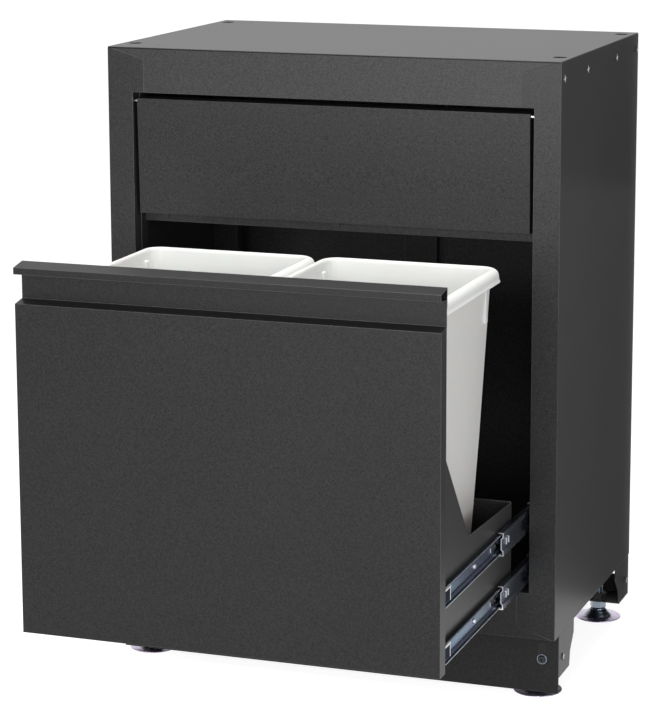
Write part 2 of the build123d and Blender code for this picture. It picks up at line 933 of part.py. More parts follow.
with BuildPart() as cabinet_screws:
    for s in (-1, 1):
        for y in side_screw_ys:
            flush_screw((s * half_width, y, side_screw_z), (-s, 0, 0))
        for z in back_screw_zs:
            flush_screw((s * (half_width - back_return / 2), back_y, z), (0, -1, 0))
        for z in slide_heights.values():
            for post_y in (front_post_y, rear_post_y):
                place = (s * (mount_x - slide_sheet), post_y + cabinet_screw_front, z)
                axis = Plane(origin=place, z_dir=(s, 0, 0))
                with BuildSketch(axis):
                    Circle(screw_head_d / 2 - slide_sheet - screw_gap)
                with BuildSketch(axis.offset(slide_sheet)):
                    Circle(screw_d / 2)
                loft()
                with BuildSketch(axis.offset(slide_sheet)):
                    Circle(screw_d / 2)
                extrude(amount=screw_length / 2)
save(cabinet_screws, "cabinet_screws")

with BuildPart() as rail_buffers:
    for s in (-1, 1):
        for z in slide_heights.values():
            block(
                (s * (tray_x + slide_sheet), s * (tray_x + slide_sheet + rail_buffer_width)),
                (tray_front, tray_front + rail_buffer_length),
                (z - rail_buffer_height / 2, z + rail_buffer_height / 2),
            )
save(rail_buffers, "rail_buffers")

# Pull-out front: face, shelf, finger recess and grip folded from one sheet
half_sheet = front_sheet / 2
lip_y = front_y - lip_proud
grip_back = pan_y + front_sheet * 2 + seam
with BuildPart() as front_panel:
    folded(
        Plane.YZ,
        [
            (pan_y, front_bottom),
            (front_y, front_bottom),
            (front_y, face_top),
            (pan_y, strip_bottom),
            (pan_y, strip_top),
            (lip_y, strip_top + under_rise),
            (lip_y, strip_top + under_rise + lip_height),
            (grip_back, grip_top),
            (grip_back, grip_top - grip_tail),
        ],
        front_half,
        front_sheet,
        Side.RIGHT,
    )
    for s in (-1, 1):
        slab(
            Plane.YZ.offset(s * front_half),
            [
                (front_y + half_sheet, front_bottom + half_sheet),
                (front_y + half_sheet, face_top - half_sheet),
                (pan_y, strip_bottom - half_sheet),
                (pan_y, front_bottom + half_sheet),
            ],
            -s * front_sheet,
        )
save(front_panel, "front_panel")

# Inner panel that closes the front's back
inner_half = tray_x - front_sheet * 2
inner_bottom = tray_bottom
inner_top = strip_top - inner_top_drop
with BuildPart() as front_inner_panel:
    folded(
        Plane.YZ,
        [
            (pan_y, inner_bottom),
            (tray_front, inner_bottom),
            (tray_front, inner_top),
            (pan_y + front_sheet, inner_top),
        ],
        inner_half,
        front_sheet,
    )
    for s in (-1, 1):
        block(
            (s * (inner_half - front_sheet), s * inner_half),
            (pan_y, tray_front),
            (inner_bottom, strip_bottom - front_sheet * 2),
        )
        block(
            (s * (inner_half - front_sheet), s * inner_half),
            (pan_y + front_sheet, tray_front),
            (strip_bottom - front_sheet * 2, inner_top),
        )
save(front_inner_panel, "front_inner_panel")

# Tray: floor, rear wall with a rolled edge, and sides whose gussets brace the front
with BuildPart() as tray_floor:
    block(
        (-tray_x + sheet, tray_x - sheet),
        (tray_front, tray_back - sheet),
        (tray_bottom + sheet, tray_bottom + sheet * 2),
    )
save(tray_floor, "tray_floor")

with BuildPart() as tray_rear:
    block((-tray_x, tray_x), (tray_back - sheet, tray_back), (tray_bottom, tray_back_top))
    with BuildSketch(Plane.YZ):
        with Locations((tray_back - sheet / 2, tray_back_top)):
            Circle(hem_d / 2)
    extrude(amount=tray_x - sheet, both=True)
save(tray_rear, "tray_rear")

with BuildPart() as tray_side:
    slab(
        Plane.YZ.offset(tray_x),
        [
            (tray_front, tray_bottom),
            (tray_front, gusset_top),
            (tray_front + gusset_length, tray_front_top),
            (tray_back - sheet, tray_back_top),
            (tray_back - sheet, tray_bottom),
        ],
        -sheet,
    )
    block(
        (tray_x - tray_flange, tray_x),
        (tray_front, tray_front + sheet),
        (tray_bottom + sheet * 2, gusset_top - tray_flange),
    )
    block(
        (tray_x - tray_flange, tray_x),
        (tray_front, tray_back - sheet),
        (tray_bottom, tray_bottom + sheet),
    )
    for z in slide_heights.values():
        for y in rail_screw_ys:
            round_bar(
                Plane.YZ.offset(tray_x), (y, z), screw_d + screw_gap * 2, -sheet, Mode.SUBTRACT
            )
save_pair(tray_side, "tray_side")

# Bins: tapered buckets with round corners, a rolled rim and a skirt below it
bin_floor = tray_bottom + sheet * 2 + bin_foot_gap
bin_space = (tray_x - sheet) * 2 - bin_left_space - bin_gap - bin_right_space
bin_rim_width = bin_space / 2
bin_rim_length = tray_length - bin_front_gap + bin_overhang
bin_left_x = -tray_x + sheet + bin_left_space + bin_rim_width / 2
bin_right_x = tray_x - sheet - bin_right_space - bin_rim_width / 2
bin_rim_top = strip_top - bin_rim_drop
bin_y = tray_front + bin_front_gap + bin_rim_length / 2
body_width = bin_rim_width - bin_rim_out * 2
body_length = bin_rim_length - bin_rim_out * 2
for name, bin_x in (("bin_left", bin_left_x), ("bin_right", bin_right_x)):
    top_plane = Plane(origin=(bin_x, bin_y, bin_rim_top))
    low_plane = Plane(origin=(bin_x, bin_y, bin_floor))
    with BuildPart() as waste_bin:
        with BuildSketch(low_plane):
            RectangleRounded(body_width - bin_taper * 2, body_length - bin_taper * 2, bin_base_corner)
        with BuildSketch(top_plane):
            RectangleRounded(body_width, body_length, bin_corner)
        loft()
        with BuildSketch(top_plane):
            RectangleRounded(bin_rim_width, bin_rim_length, bin_corner + bin_rim_out)
        extrude(amount=-bin_skirt)
        fillet(waste_bin.faces().sort_by(Axis.Z)[-1].edges(), bin_rim_round)
        with BuildSketch(top_plane.offset(-bin_skirt)):
            RectangleRounded(
                bin_rim_width - bin_wall * 2, bin_rim_length - bin_wall * 2, bin_corner + bin_rim_out - bin_wall
            )
            RectangleRounded(body_width, body_length, bin_corner, mode=Mode.SUBTRACT)
        extrude(amount=bin_skirt - bin_wall * 2, mode=Mode.SUBTRACT)
        with BuildSketch(low_plane.offset(bin_wall)):
            RectangleRounded(
                body_width - (bin_taper + bin_wall) * 2,
                body_length - (bin_taper + bin_wall) * 2,
                bin_base_corner - bin_wall,
            )
        with BuildSketch(top_plane):
            RectangleRounded(body_width - bin_wall * 2, body_length - bin_wall * 2, bin_corner - bin_wall)
        loft(mode=Mode.SUBTRACT)
    save(waste_bin, name)
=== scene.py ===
"""Looks of a steel cabinet with a flap and a pull-out front that carries waste bins."""

import json
import logging
import math
from dataclasses import dataclass
from enum import Enum
from typing import Sequence

import bmesh
import bpy
from mathutils import Matrix, Vector


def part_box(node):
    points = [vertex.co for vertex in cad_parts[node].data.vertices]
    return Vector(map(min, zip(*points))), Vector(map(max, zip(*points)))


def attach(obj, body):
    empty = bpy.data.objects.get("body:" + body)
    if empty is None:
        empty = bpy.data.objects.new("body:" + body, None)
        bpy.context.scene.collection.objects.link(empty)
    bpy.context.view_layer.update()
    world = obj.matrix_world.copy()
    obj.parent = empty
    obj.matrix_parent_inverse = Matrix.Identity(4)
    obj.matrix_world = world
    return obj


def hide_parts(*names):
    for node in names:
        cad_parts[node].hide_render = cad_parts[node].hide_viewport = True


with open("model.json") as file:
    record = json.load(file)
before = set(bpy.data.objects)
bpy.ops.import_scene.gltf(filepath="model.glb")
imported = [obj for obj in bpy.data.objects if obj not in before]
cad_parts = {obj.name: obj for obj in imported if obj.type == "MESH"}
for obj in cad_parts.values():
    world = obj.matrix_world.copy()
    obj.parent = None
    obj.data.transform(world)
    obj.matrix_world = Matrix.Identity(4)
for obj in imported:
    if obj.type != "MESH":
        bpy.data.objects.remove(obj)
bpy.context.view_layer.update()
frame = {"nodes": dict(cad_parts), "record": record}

LOG = logging.getLogger("bin_cabinet")

Point = tuple[float, float]
Place = tuple[float, float, float]
Tone = tuple[float, float, float]
Line = tuple[Point, ...]
Socket = bpy.types.NodeSocket
Vert = bmesh.types.BMVert
Edge = bmesh.types.BMEdge

MM = 0.001
SMOOTH_ANGLE = math.radians(32)
BIN_SMOOTH_ANGLE = math.radians(50)
PIECE_MERGE = 0.004 * MM
LATHE_MERGE = 0.002 * MM
EDGE_SAMPLES = 6
EVEN: Place = (1.0, 1.0, 1.0)
UP: Place = (0.0, 0.0, 1.0)
FORWARD: Place = (0.0, -1.0, 0.0)
BACKWARD: Place = (0.0, 1.0, 0.0)
WHITE = (1.0, 1.0, 1.0, 1.0)
HEAD_TURN = Matrix.Rotation(math.radians(12.0), 4, "Z")
# Numbers of the colour sockets of Blender's mix node.
MIX_FIRST, MIX_SECOND, MIX_RESULT = 6, 7, 2


class Slot(Enum):
    """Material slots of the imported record."""

    COAT = "charcoal_coat"
    ZINC = "zinc_plate"
    PLASTIC = "white_plastic"
    RUBBER = "black_rubber"
    BLACK = "black_screw"
    PIN = "bright_pin"


class Side(Enum):
    """Left and right, with the sign of X on that side."""

    LEFT = -1
    RIGHT = 1

    @property
    def label(self) -> str:
        """The word used in node names."""
        return self.name.lower()

    @property
    def outwards(self) -> Place:
        """The direction away from the middle."""
        return (float(self.value), 0.0, 0.0)

    def at(self, x: float, y: float, z: float) -> Place:
        """A place on this side.

        Args:
            x: Distance from the middle, in millimetres.
            y: Place along Y, in millimetres.
            z: Height, in millimetres.

        Returns:
            The place in metres.
        """
        return (self.value * x * MM, y * MM, z * MM)


class End(Enum):
    """Front and rear end of the cabinet."""

    FRONT = "front"
    REAR = "rear"


class Level(Enum):
    """Lower and upper pair of slides."""

    LOWER = "lower"
    UPPER = "upper"


def scaled(tone: Tone, share: float) -> Tone:
    """Makes a tone darker or lighter.

    Args:
        tone: Linear colour.
        share: Factor for every channel.

    Returns:
        The new colour.
    """
    return tuple(channel * share for channel in tone)


def wire(node: bpy.types.Node, inputs: dict[str | int, object]) -> bpy.types.Node:
    """Sets or links inputs of a node.

    Args:
        node: The node.
        inputs: Values or output sockets, by the input's name or number.

    Returns:
        The same node.
    """
    for key, value in inputs.items():
        if isinstance(value, Socket):
            node.id_data.links.new(value, node.inputs[key])
        else:
            node.inputs[key].default_value = value
    return node


def facing(place: Place, direction: Place) -> Matrix:
    """Where a shape goes that was made round Z.

    Args:
        place: Place of its origin, in metres.
        direction: Way that its Z axis points.

    Returns:
        The matrix that seats it.
    """
    turn = Vector(UP).rotation_difference(Vector(direction)).to_matrix().to_4x4()
    return Matrix.Translation(place) @ turn


def add_object(name: str, data: bpy.types.ID) -> bpy.types.Object:
    """Adds an object to the scene.

    Args:
        name: Name of the object.
        data: Its mesh, lamp or camera.

    Returns:
        The new object.
    """
    made = bpy.data.objects.new(name, data)
    bpy.context.scene.collection.objects.link(made)
    return made


def add_mesh(shape: bmesh.types.BMesh, name: str, material: bpy.types.Material) -> bpy.types.Object:
    """Turns a shape into an object of the scene.

    Args:
        shape: The finished shape, freed here.
        name: Name of the object and its mesh.
        material: Its material.

    Returns:
        The new object.
    """
    mesh = bpy.data.meshes.new(name)
    shape.to_mesh(mesh)
    shape.free()
    mesh.materials.append(material)
    return add_object(name, mesh)


class Surface:
    """One node material built round a Principled shader."""

    def __init__(self, name: str) -> None:
        """Starts a material.

        Args:
            name: Name of the material.
        """
        self.material = bpy.data.materials.new(name)
        self.material.use_nodes = True
        self.tree = self.material.node_tree
        self.shader = self.tree.nodes["Principled BSDF"]
        self._place = self.tree.nodes.new("ShaderNodeTexCoord").outputs["Object"]

    def node(self, kind: str, result: str, inputs: dict[str, object]) -> Socket:
        """Adds a node.

        Args:
            kind: Blender's node type, without ShaderNode in front.
            result: Name of the output that is wanted.
            inputs: Values or output sockets, by the input's name.

        Returns:
            The output.
        """
        return wire(self.tree.nodes.new(f"ShaderNode{kind}"), inputs).outputs[result]

    def place(self, stretch: Place = EVEN) -> Socket:
        """Object coordinates, stretched along each axis.

        Args:
            stretch: Scale of the pattern along X, Y and Z.

        Returns:
            The vector output.
        """
        if stretch == EVEN:
            return self._place
        return self.node("Mapping", "Vector", {"Vector": self._place, "Scale": stretch})

    def noise(
        self, scale: float, detail: float = 2.0, roughness: float = 0.5, stretch: Place = EVEN
    ) -> Socket:
        """A noise pattern.

        Args:
            scale: Cells per metre.
            detail: Octaves.
            roughness: Weight of the finer octaves.
            stretch: Scale of the pattern along each axis.

        Returns:
            The noise's factor output.
        """
        inputs = {"Scale": scale, "Detail": detail, "Roughness": roughness}
        return self.node("TexNoise", "Fac", {"Vector": self.place(stretch), **inputs})

    def ramp(
        self, factor: Socket, tones: Sequence[Tone], stops: Sequence[float] = (0.3, 0.7)
    ) -> Socket:
        """Colours along a factor.

        Args:
            factor: Output that picks the colour.
            tones: Linear colours from low to high.
            stops: Factor at which each of them is reached.

        Returns:
            The colour output.
        """
        made = wire(self.tree.nodes.new("ShaderNodeValToRGB"), {"Fac": factor})
        elements = made.color_ramp.elements
        while len(elements) < len(tones):
            elements.new(0.5)
        for element, stop, tone in zip(elements, stops, tones):
            element.position = stop
            element.color = (*tone, 1.0)
        return made.outputs["Color"]

    def blend(
        self, kind: str, factor: Socket | float, base: Socket, over: Socket | Sequence[float]
    ) -> Socket:
        """Blends two colours.

        Args:
            kind: Blender's blend type.
            factor: How much of the second colour takes part.
            base: First colour.
            over: Second colour, with its alpha when it is a value.

        Returns:
            The colour output.
        """
        made = self.tree.nodes.new("ShaderNodeMix")
        made.data_type, made.blend_type = "RGBA", kind
        wire(made, {"Factor": factor, MIX_FIRST: base, MIX_SECOND: over})
        return made.outputs[MIX_RESULT]

    def span(self, factor: Socket, low: float, high: float) -> Socket:
        """Stretches a factor of 0 to 1 to a range.

        Args:
            factor: Output to stretch.
            low: Result at 0.
            high: Result at 1.

        Returns:
            The result output.
        """
        return self.node("MapRange", "Result", {"Value": factor, "To Min": low, "To Max": high})

    def bump(self, height: Socket, strength: float, depth: float, normal: Socket) -> Socket:
        """Relief from a height.

        Args:
            height: Height output.
            strength: Strength from 0 to 1.
            depth: Height of a factor of 1, in millimetres.
            normal: Normal to start from.

        Returns:
            The normal output.
        """
        inputs = {"Height": height, "Strength": strength, "Distance": depth * MM, "Normal": normal}
        return self.node("Bump", "Normal", inputs)

    def soft_edges(self, radius: float = 0.4) -> Socket:
        """Normals that round the sharp edges.

        Args:
            radius: Radius of the edges, in millimetres.

        Returns:
            The normal output.
        """
        made = wire(self.tree.nodes.new("ShaderNodeBevel"), {"Radius": radius * MM})
        made.samples = EDGE_SAMPLES
        return made.outputs["Normal"]


@dataclass(frozen=True)
class PowderCoat:
    """Fine-textured charcoal powder coat on steel sheet.

    Cloud says how far the speckle darkens and lightens. The edge gets a painted highlight where the
    cosine between rounded and flat normal falls from the first to the second value.
    """

    name: str = "charcoal powder coat"
    dark: Tone = (0.0155, 0.0155, 0.0155)
    light: Tone = (0.046, 0.046, 0.0455)
    # Lighter tone painted along the sheet edges: a painted highlight.
    edge_highlight: Tone = (0.17, 0.17, 0.168)
    gloss: float = 0.35
    sheen: float = 0.18
    # Depth scales the coat's tone; the top, side and front copies use it for painted light and
    # shade.
    depth: float = 1.0
    contrast: float = 1.0
    grain: float = 620.0
    speckle: float = 300.0
    mottle: float = 7.0
    mottle_low: float = 0.92
    cloud: Point = (0.34, 0.2)
    edge: float = 1.2
    edge_cosines: Point = (0.985, 0.8)

    def edges(self, made: Surface) -> tuple[Socket, Socket]:
        """Finds the sheet's edges, where a painted highlight stands for the light they catch.

        Args:
            made: Material that is being built.

        Returns:
            The rounded normal, and a mask that is 1 on an edge.
        """
        rounded = made.soft_edges(self.edge)
        match = made.tree.nodes.new("ShaderNodeVectorMath")
        match.operation = "DOT_PRODUCT"
        wire(match, {0: rounded, 1: made.node("NewGeometry", "Normal", {})})
        start, full = self.edge_cosines
        inputs = {"Value": match.outputs["Value"], "From Min": start, "From Max": full}
        return rounded, made.node("MapRange", "Result", inputs)

    def build(self) -> bpy.types.Material:
        """Makes the material: grain, speckle, mottle and a painted highlight along the sheet edges.
        """
        made = Surface(self.name)
        grain = made.noise(self.grain, roughness=0.6)
        speckle = made.noise(self.speckle, 3.0, 0.7)
        mottle = made.noise(self.mottle, 3.0)
        rounded, edge = self.edges(made)
        fine = made.ramp(grain, [scaled(tone, self.depth) for tone in (self.dark, self.light)])
        low, high = 1.0 - self.cloud[0] * self.contrast, 1.0 + self.cloud[1] * self.contrast
        cloud = made.ramp(speckle, ((low,) * 3, (high,) * 3))
        wide = made.ramp(mottle, ((self.mottle_low,) * 3, EVEN))
        coat = made.blend("MULTIPLY", 1.0, made.blend("MULTIPLY", 1.0, fine, cloud), wide)
        peel = made.bump(speckle, 0.4, 0.10, rounded)
        inputs = {
            # Painted highlight: the edge mask blends the coat to a lighter tone along every sheet
            # edge.
            "Base Color": made.blend("MIX", edge, coat, (*self.edge_highlight, 1.0)),
            "Roughness": made.span(speckle, self.gloss - 0.05, self.gloss + 0.07),
            "Normal": made.bump(grain, 0.5, 0.06, peel),
            "Specular IOR Level": self.sheen,
        }
        wire(made.shader, inputs)
        return made.material


@dataclass(frozen=True)
class ZincPlate:
    """Bright zinc plating with a faint blue and violet tint, its tints painted darker as shade."""

    name: str = "bright zinc plate"
    gloss: float = 0.22
    depth: float = 1.0
    graze: Tone = (1.0, 1.0, 1.0)
    clouds: float = 13.0
    lines: Place = (900.0, 6.0, 900.0)
    stops: tuple[float, ...] = (0.34, 0.46, 0.56, 0.68)
    # The tints are far darker than bare zinc: painted shade for the dark surroundings that the
    # rails reflect. The blue and violet tint is the plating's own.
    tints: tuple[Tone, ...] = (
        (0.190, 0.260, 0.295),
        (0.245, 0.300, 0.365),
        (0.290, 0.285, 0.385),
        (0.270, 0.310, 0.335),
    )

    def build(self) -> bpy.types.Material:
        """Makes the material: tint clouds and rolling lines along Y."""
        made = Surface(self.name)
        tints = [scaled(tint, self.depth) for tint in self.tints]
        lines = made.noise(1.0, roughness=0.6, stretch=self.lines)
        inputs = {
            "Base Color": made.ramp(made.noise(self.clouds), tints, self.stops),
            "Metallic": 1.0,
            "Roughness": made.span(lines, self.gloss - 0.06, self.gloss + 0.1),
            "Normal": made.bump(lines, 0.18, 0.03, made.soft_edges()),
            "Specular Tint": (*self.graze, 1.0),
        }
        wire(made.shader, inputs)
        return made.material


@dataclass(frozen=True)
class SpunZinc:
    """Bright zinc on turned and pressed round pieces."""

    name: str = "zinc on turned steel"
    gloss: float = 0.22
    clouds: float = 60.0
    grain: float = 500.0
    stops: tuple[float, ...] = (0.3, 0.5, 0.7)
    tints: tuple[Tone, ...] = ((0.42, 0.46, 0.52), (0.55, 0.55, 0.60), (0.56, 0.53, 0.62))

    def build(self) -> bpy.types.Material:
        """Makes the material: fine clouds of tint and a light scatter of dull spots."""
        made = Surface(self.name)
        clouds = made.noise(self.clouds, 3.0, 0.6)
        inputs = {
            "Base Color": made.ramp(clouds, self.tints, self.stops),
            "Metallic": 1.0,
            "Roughness": made.span(clouds, self.gloss, self.gloss + 0.14),
            "Normal": made.bump(made.noise(self.grain), 0.12, 0.03, made.soft_edges()),
        }
        wire(made.shader, inputs)
        return made.material


@dataclass(frozen=True)
class FootZinc:
    """Zinc of a levelling foot: a lilac disc, with painted shade that darkens the cone and the
    neck.

    The stops are shares of the reach, which is a height in metres.
    """

    name: str = "zinc of the feet"
    disc: Tone = (0.66, 0.60, 0.72)
    # The cone and neck tones are painted shade on the same zinc as the disc.
    cone: Tone = (0.15, 0.19, 0.22)
    neck: Tone = (0.27, 0.32, 0.36)
    reach: float = 0.03
    stops: tuple[float, ...] = (0.075, 0.11, 0.47, 0.53)
    wear: tuple[Tone, Tone] = ((0.8, 0.84, 0.86), (1.05, 1.0, 1.05))
    gloss: float = 0.2
    clouds: float = 60.0
    lines: Place = (40.0, 40.0, 900.0)

    def build(self) -> bpy.types.Material:
        """Makes the material: three tones by height, painting shade on the cone and neck, fine
        clouds and turning marks.
        """
        made = Surface(self.name)
        height = made.node("SeparateXYZ", "Z", {"Vector": made.place()})
        level = made.node("MapRange", "Result", {"Value": height, "From Max": self.reach})
        tone = made.ramp(level, (self.disc, self.cone, self.cone, self.neck), self.stops)
        clouds = made.noise(self.clouds, 3.0, 0.6)
        lines = made.noise(1.0, roughness=0.6, stretch=self.lines)
        inputs = {
            "Base Color": made.blend("MULTIPLY", 1.0, tone, made.ramp(clouds, self.wear)),
            "Metallic": 1.0,
            "Roughness": made.span(clouds, self.gloss, self.gloss + 0.14),
            "Normal": made.bump(lines, 0.15, 0.04, made.soft_edges()),
        }
        wire(made.shader, inputs)
        return made.material


@dataclass(frozen=True)
class MouldedPlastic:
    """Smooth white moulded plastic of the bins."""

    name: str = "white moulded plastic"
    tone: Tone = (0.90, 0.90, 0.878)
    flow: float = 9.0
    flow_low: float = 0.97
    flow_stretch: Place = (1.0, 1.0, 0.35)
    gloss: float = 0.52
    grain: float = 420.0
    edge: float = 0.8
    glow_share: float = 0.12
    glow_depth: float = 0.004

    def build(self) -> bpy.types.Material:
        """Makes the material: slight flow clouds and a soft sheen."""
        made = Surface(self.name)
        flow = made.noise(self.flow, stretch=self.flow_stretch)
        inputs = {
            "Base Color": made.ramp(flow, (scaled(self.tone, self.flow_low), self.tone)),
            "Roughness": made.span(made.noise(30.0), self.gloss - 0.04, self.gloss + 0.05),
            "Normal": made.bump(made.noise(self.grain), 0.08, 0.04, made.soft_edges(self.edge)),
            "IOR": 1.5,
            "Subsurface Weight": self.glow_share,
            "Subsurface Scale": self.glow_depth,
        }
        wire(made.shader, inputs)
        return made.material


@dataclass(frozen=True)
class PlainFinish:
    """One tone with a fine grain: rubber, black oxide, polished or cut steel, and finishes for
    painted glint and painted shade.
    """

    name: str
    tone: Tone
    gloss: float
    metal: float = 0.0
    grain: float = 500.0
    sheen: float = 0.5
    grain_low: float = 0.75
    stops: Point = (0.35, 0.65)

    def build(self) -> bpy.types.Material:
        """Makes the material: fine grain in colour, roughness and relief."""
        made = Surface(self.name)
        grain = made.noise(self.grain, 3.0, 0.6)
        low = scaled(self.tone, self.grain_low)
        inputs = {
            "Base Color": made.ramp(grain, (low, self.tone), self.stops),
            "Metallic": self.metal,
            "Specular IOR Level": self.sheen,
            "Roughness": made.span(grain, self.gloss - 0.05, self.gloss + 0.07),
            "Normal": made.bump(grain, 0.3, 0.03, made.soft_edges()),
        }
        wire(made.shader, inputs)
        return made.material


class Finishes:
    """All materials, built once and shared by the pieces."""

    def __init__(self) -> None:
        """Builds every finish."""
        self.coat = PowderCoat().build()
        # Lit and shaded copies of one coat: the top and sides are painted lighter, the front and
        # kick plate darker, as painted light and shade.
        top_coat_painted_light = PowderCoat("charcoal powder coat, top", depth=1.45, gloss=0.38).build()
        side_coat_painted_light = PowderCoat("charcoal powder coat, sides", depth=1.1, contrast=1.2).build()
        front_coat_painted_shade = PowderCoat("charcoal powder coat, front", depth=0.66, contrast=0.7).build()
        self.rail = ZincPlate().build()
        # A darker copy of the zinc for the drawer rails: painted shade, with a weaker, bluer shine
        # at grazing angles.
        inner_rail_painted_shade = ZincPlate(
            "zinc plate of the inner rail", depth=0.7, graze=(0.66, 0.75, 0.86)
        ).build()
        self.turned = SpunZinc().build()
        self.foot = FootZinc().build()
        stop = PlainFinish("dark blue stop", (0.006, 0.011, 0.022), 0.6, sheen=0.05).build()
        self.plastic = MouldedPlastic().build()
        rubber = PlainFinish("black rubber", (0.022, 0.022, 0.022), 0.7, grain=700.0).build()
        self.black = PlainFinish("black oxide steel", (0.045, 0.045, 0.046), 0.36, 0.6).build()
        bright = PlainFinish("polished steel", (0.72, 0.72, 0.73), 0.16, 1.0, 300.0).build()
        self.cut = PlainFinish("cut steel edge", (0.80, 0.80, 0.82), 0.42, 1.0, 900.0).build()
        # White finish of the painted glints round the screw recesses.
        self.painted_glint = PlainFinish(
            "worn recess of a screw", (0.97, 0.97, 0.99), 0.6, grain=900.0, sheen=0.8
        ).build()
        # Near-black finish for painted shade along a fold.
        self.gap = PlainFinish(
            "shade in a seam", (0.004, 0.004, 0.004), 0.9, grain=400.0, sheen=0.05
        ).build()
        self.by_slot = {
            Slot.COAT: self.coat,
            Slot.ZINC: self.rail,
            Slot.PLASTIC: self.plastic,
            Slot.RUBBER: rubber,
            Slot.BLACK: self.black,
            Slot.PIN: bright,
        }
        self.by_name = {
            "foot_": self.foot,
            "drawer_rail_": inner_rail_painted_shade,
            "rail_buffers": stop,
            "top_panel": top_coat_painted_light,
            "side_panel_": side_coat_painted_light,
            "front_panel": front_coat_painted_shade,
            "kick_plate": front_coat_painted_shade,
        }


class Form:
    """A shape that grows from simple parts and ends as one piece on the frame."""

    def __init__(self) -> None:
        """Starts empty."""
        self.mesh = bmesh.new()

    def piece(
        self,
        name: str,
        material: bpy.types.Material,
        body: str,
        slot: Slot,
        stands_for: Sequence[str] = (),
        angle: float = SMOOTH_ANGLE,
    ) -> None:
        """Turns the shape into a piece that rides on a body.

        Args:
            name: Name of the piece.
            material: Its material.
            body: CAD body that it rides on.
            slot: Material slot of the record; not used.
            stands_for: CAD nodes that it replaces.
            angle: Edges sharper than this stay sharp.
        """
        shape = self.mesh
        bmesh.ops.remove_doubles(shape, verts=shape.verts, dist=PIECE_MERGE)
        bmesh.ops.recalc_face_normals(shape, faces=shape.faces)
        for face in shape.faces:
            face.smooth = True
        for edge in shape.edges:
            edge.smooth = len(edge.link_faces) == 2 and edge.calc_face_angle(0.0) < angle
        made = add_mesh(shape, name, material)
        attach(made, body)
        if stands_for:
            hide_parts(*stands_for)

    def chain(self, points: Sequence[Place], closed: bool = False) -> list[Edge]:
        """Adds a line of edges.

        Args:
            points: Corner places in metres.
            closed: True for a loop.

        Returns:
            The edges in order.
        """
        verts = [self.mesh.verts.new(point) for point in points]
        edges = [self.mesh.edges.new(pair) for pair in zip(verts, verts[1:])]
        if closed:
            edges.append(self.mesh.edges.new((verts[-1], verts[0])))
        return edges

    def extrude(self, edges: Sequence[Edge]) -> tuple[list[Vert], list[Edge]]:
        """Doubles edges and spans faces between both.

        Args:
            edges: Edges to double.

        Returns:
            The new corners and the new edges, still in the old place.
        """
        grown = bmesh.ops.extrude_edge_only(self.mesh, edges=edges)["geom"]
        verts = [part for part in grown if isinstance(part, Vert)]
        return verts, [part for part in grown if isinstance(part, Edge)]

    def seat(self, before: set[Vert], matrix: Matrix) -> None:
        """Moves what was added.

        Args:
            before: Corners that stay.
            matrix: Where all others go.
        """
        made = [vert for vert in self.mesh.verts if vert not in before]
        bmesh.ops.transform(self.mesh, matrix=matrix, verts=made)

    def thicken(self, before: set[bmesh.types.BMFace], thickness: float) -> None:
        """Turns the faces that were added into sheet.

        Args:
            before: Faces that stay.
            thickness: Thickness of the sheet, in millimetres.
        """
        faces = [face for face in self.mesh.faces if face not in before]
        bmesh.ops.recalc_face_normals(self.mesh, faces=faces)
        bmesh.ops.solidify(self.mesh, geom=faces, thickness=thickness * MM)

    def lathe(
        self, profile: Sequence[Point], origin: Place, steps: int, axis: Place = UP
    ) -> None:
        """Spins a profile round an axis.

        Args:
            profile: Radius and height of each corner, in millimetres.
            origin: Place of radius 0, height 0, in metres.
            steps: Sides of the turned piece.
            axis: Direction of height.
        """
        before = set(self.mesh.verts)
        edges = self.chain([(radius * MM, 0.0, height * MM) for radius, height in profile])
        verts = {vert for edge in edges for vert in edge.verts}
        bmesh.ops.spin(
            self.mesh,
            geom=[*verts, *edges],
            cent=(0.0, 0.0, 0.0),
            axis=UP,
            angle=math.tau,
            steps=steps,
            use_merge=True,
        )
        made = [vert for vert in self.mesh.verts if vert not in before]
        bmesh.ops.remove_doubles(self.mesh, verts=made, dist=LATHE_MERGE)
        self.seat(before, facing(origin, axis))

    def ribbon(self, points: Sequence[Place], depth: float, thickness: float) -> None:
        """Adds a bent strip that follows a line and runs along Y.

        Args:
            points: Corners of the line, in metres.
            depth: Length along Y, in millimetres.
            thickness: Thickness of the strip, in millimetres.
        """
        before = set(self.mesh.faces)
        verts, _ = self.extrude(self.chain(points))
        bmesh.ops.translate(self.mesh, verts=verts, vec=(0.0, depth * MM, 0.0))
        self.thicken(before, thickness)

    def block(self, centre: Place, size: Place, bevel: float = 0.0, segments: int = 2) -> None:
        """Adds a block with rounded edges.

        Args:
            centre: Middle, in metres.
            size: Length along each axis, in millimetres.
            bevel: Radius of the edges, in millimetres.
            segments: Segments of each rounded edge.
        """
        seat = Matrix.Translation(centre) @ Matrix.Diagonal((*(side * MM for side in size), 1.0))
        made = bmesh.ops.create_cube(self.mesh, size=1.0, matrix=seat)
        if bevel > 0.0:
            bmesh.ops.bevel(
                self.mesh,
                geom=list({edge for vert in made["verts"] for edge in vert.link_edges}),
                offset=bevel * MM,
                segments=segments,
                profile=0.5,
                affect="EDGES",
                material=-1,
            )


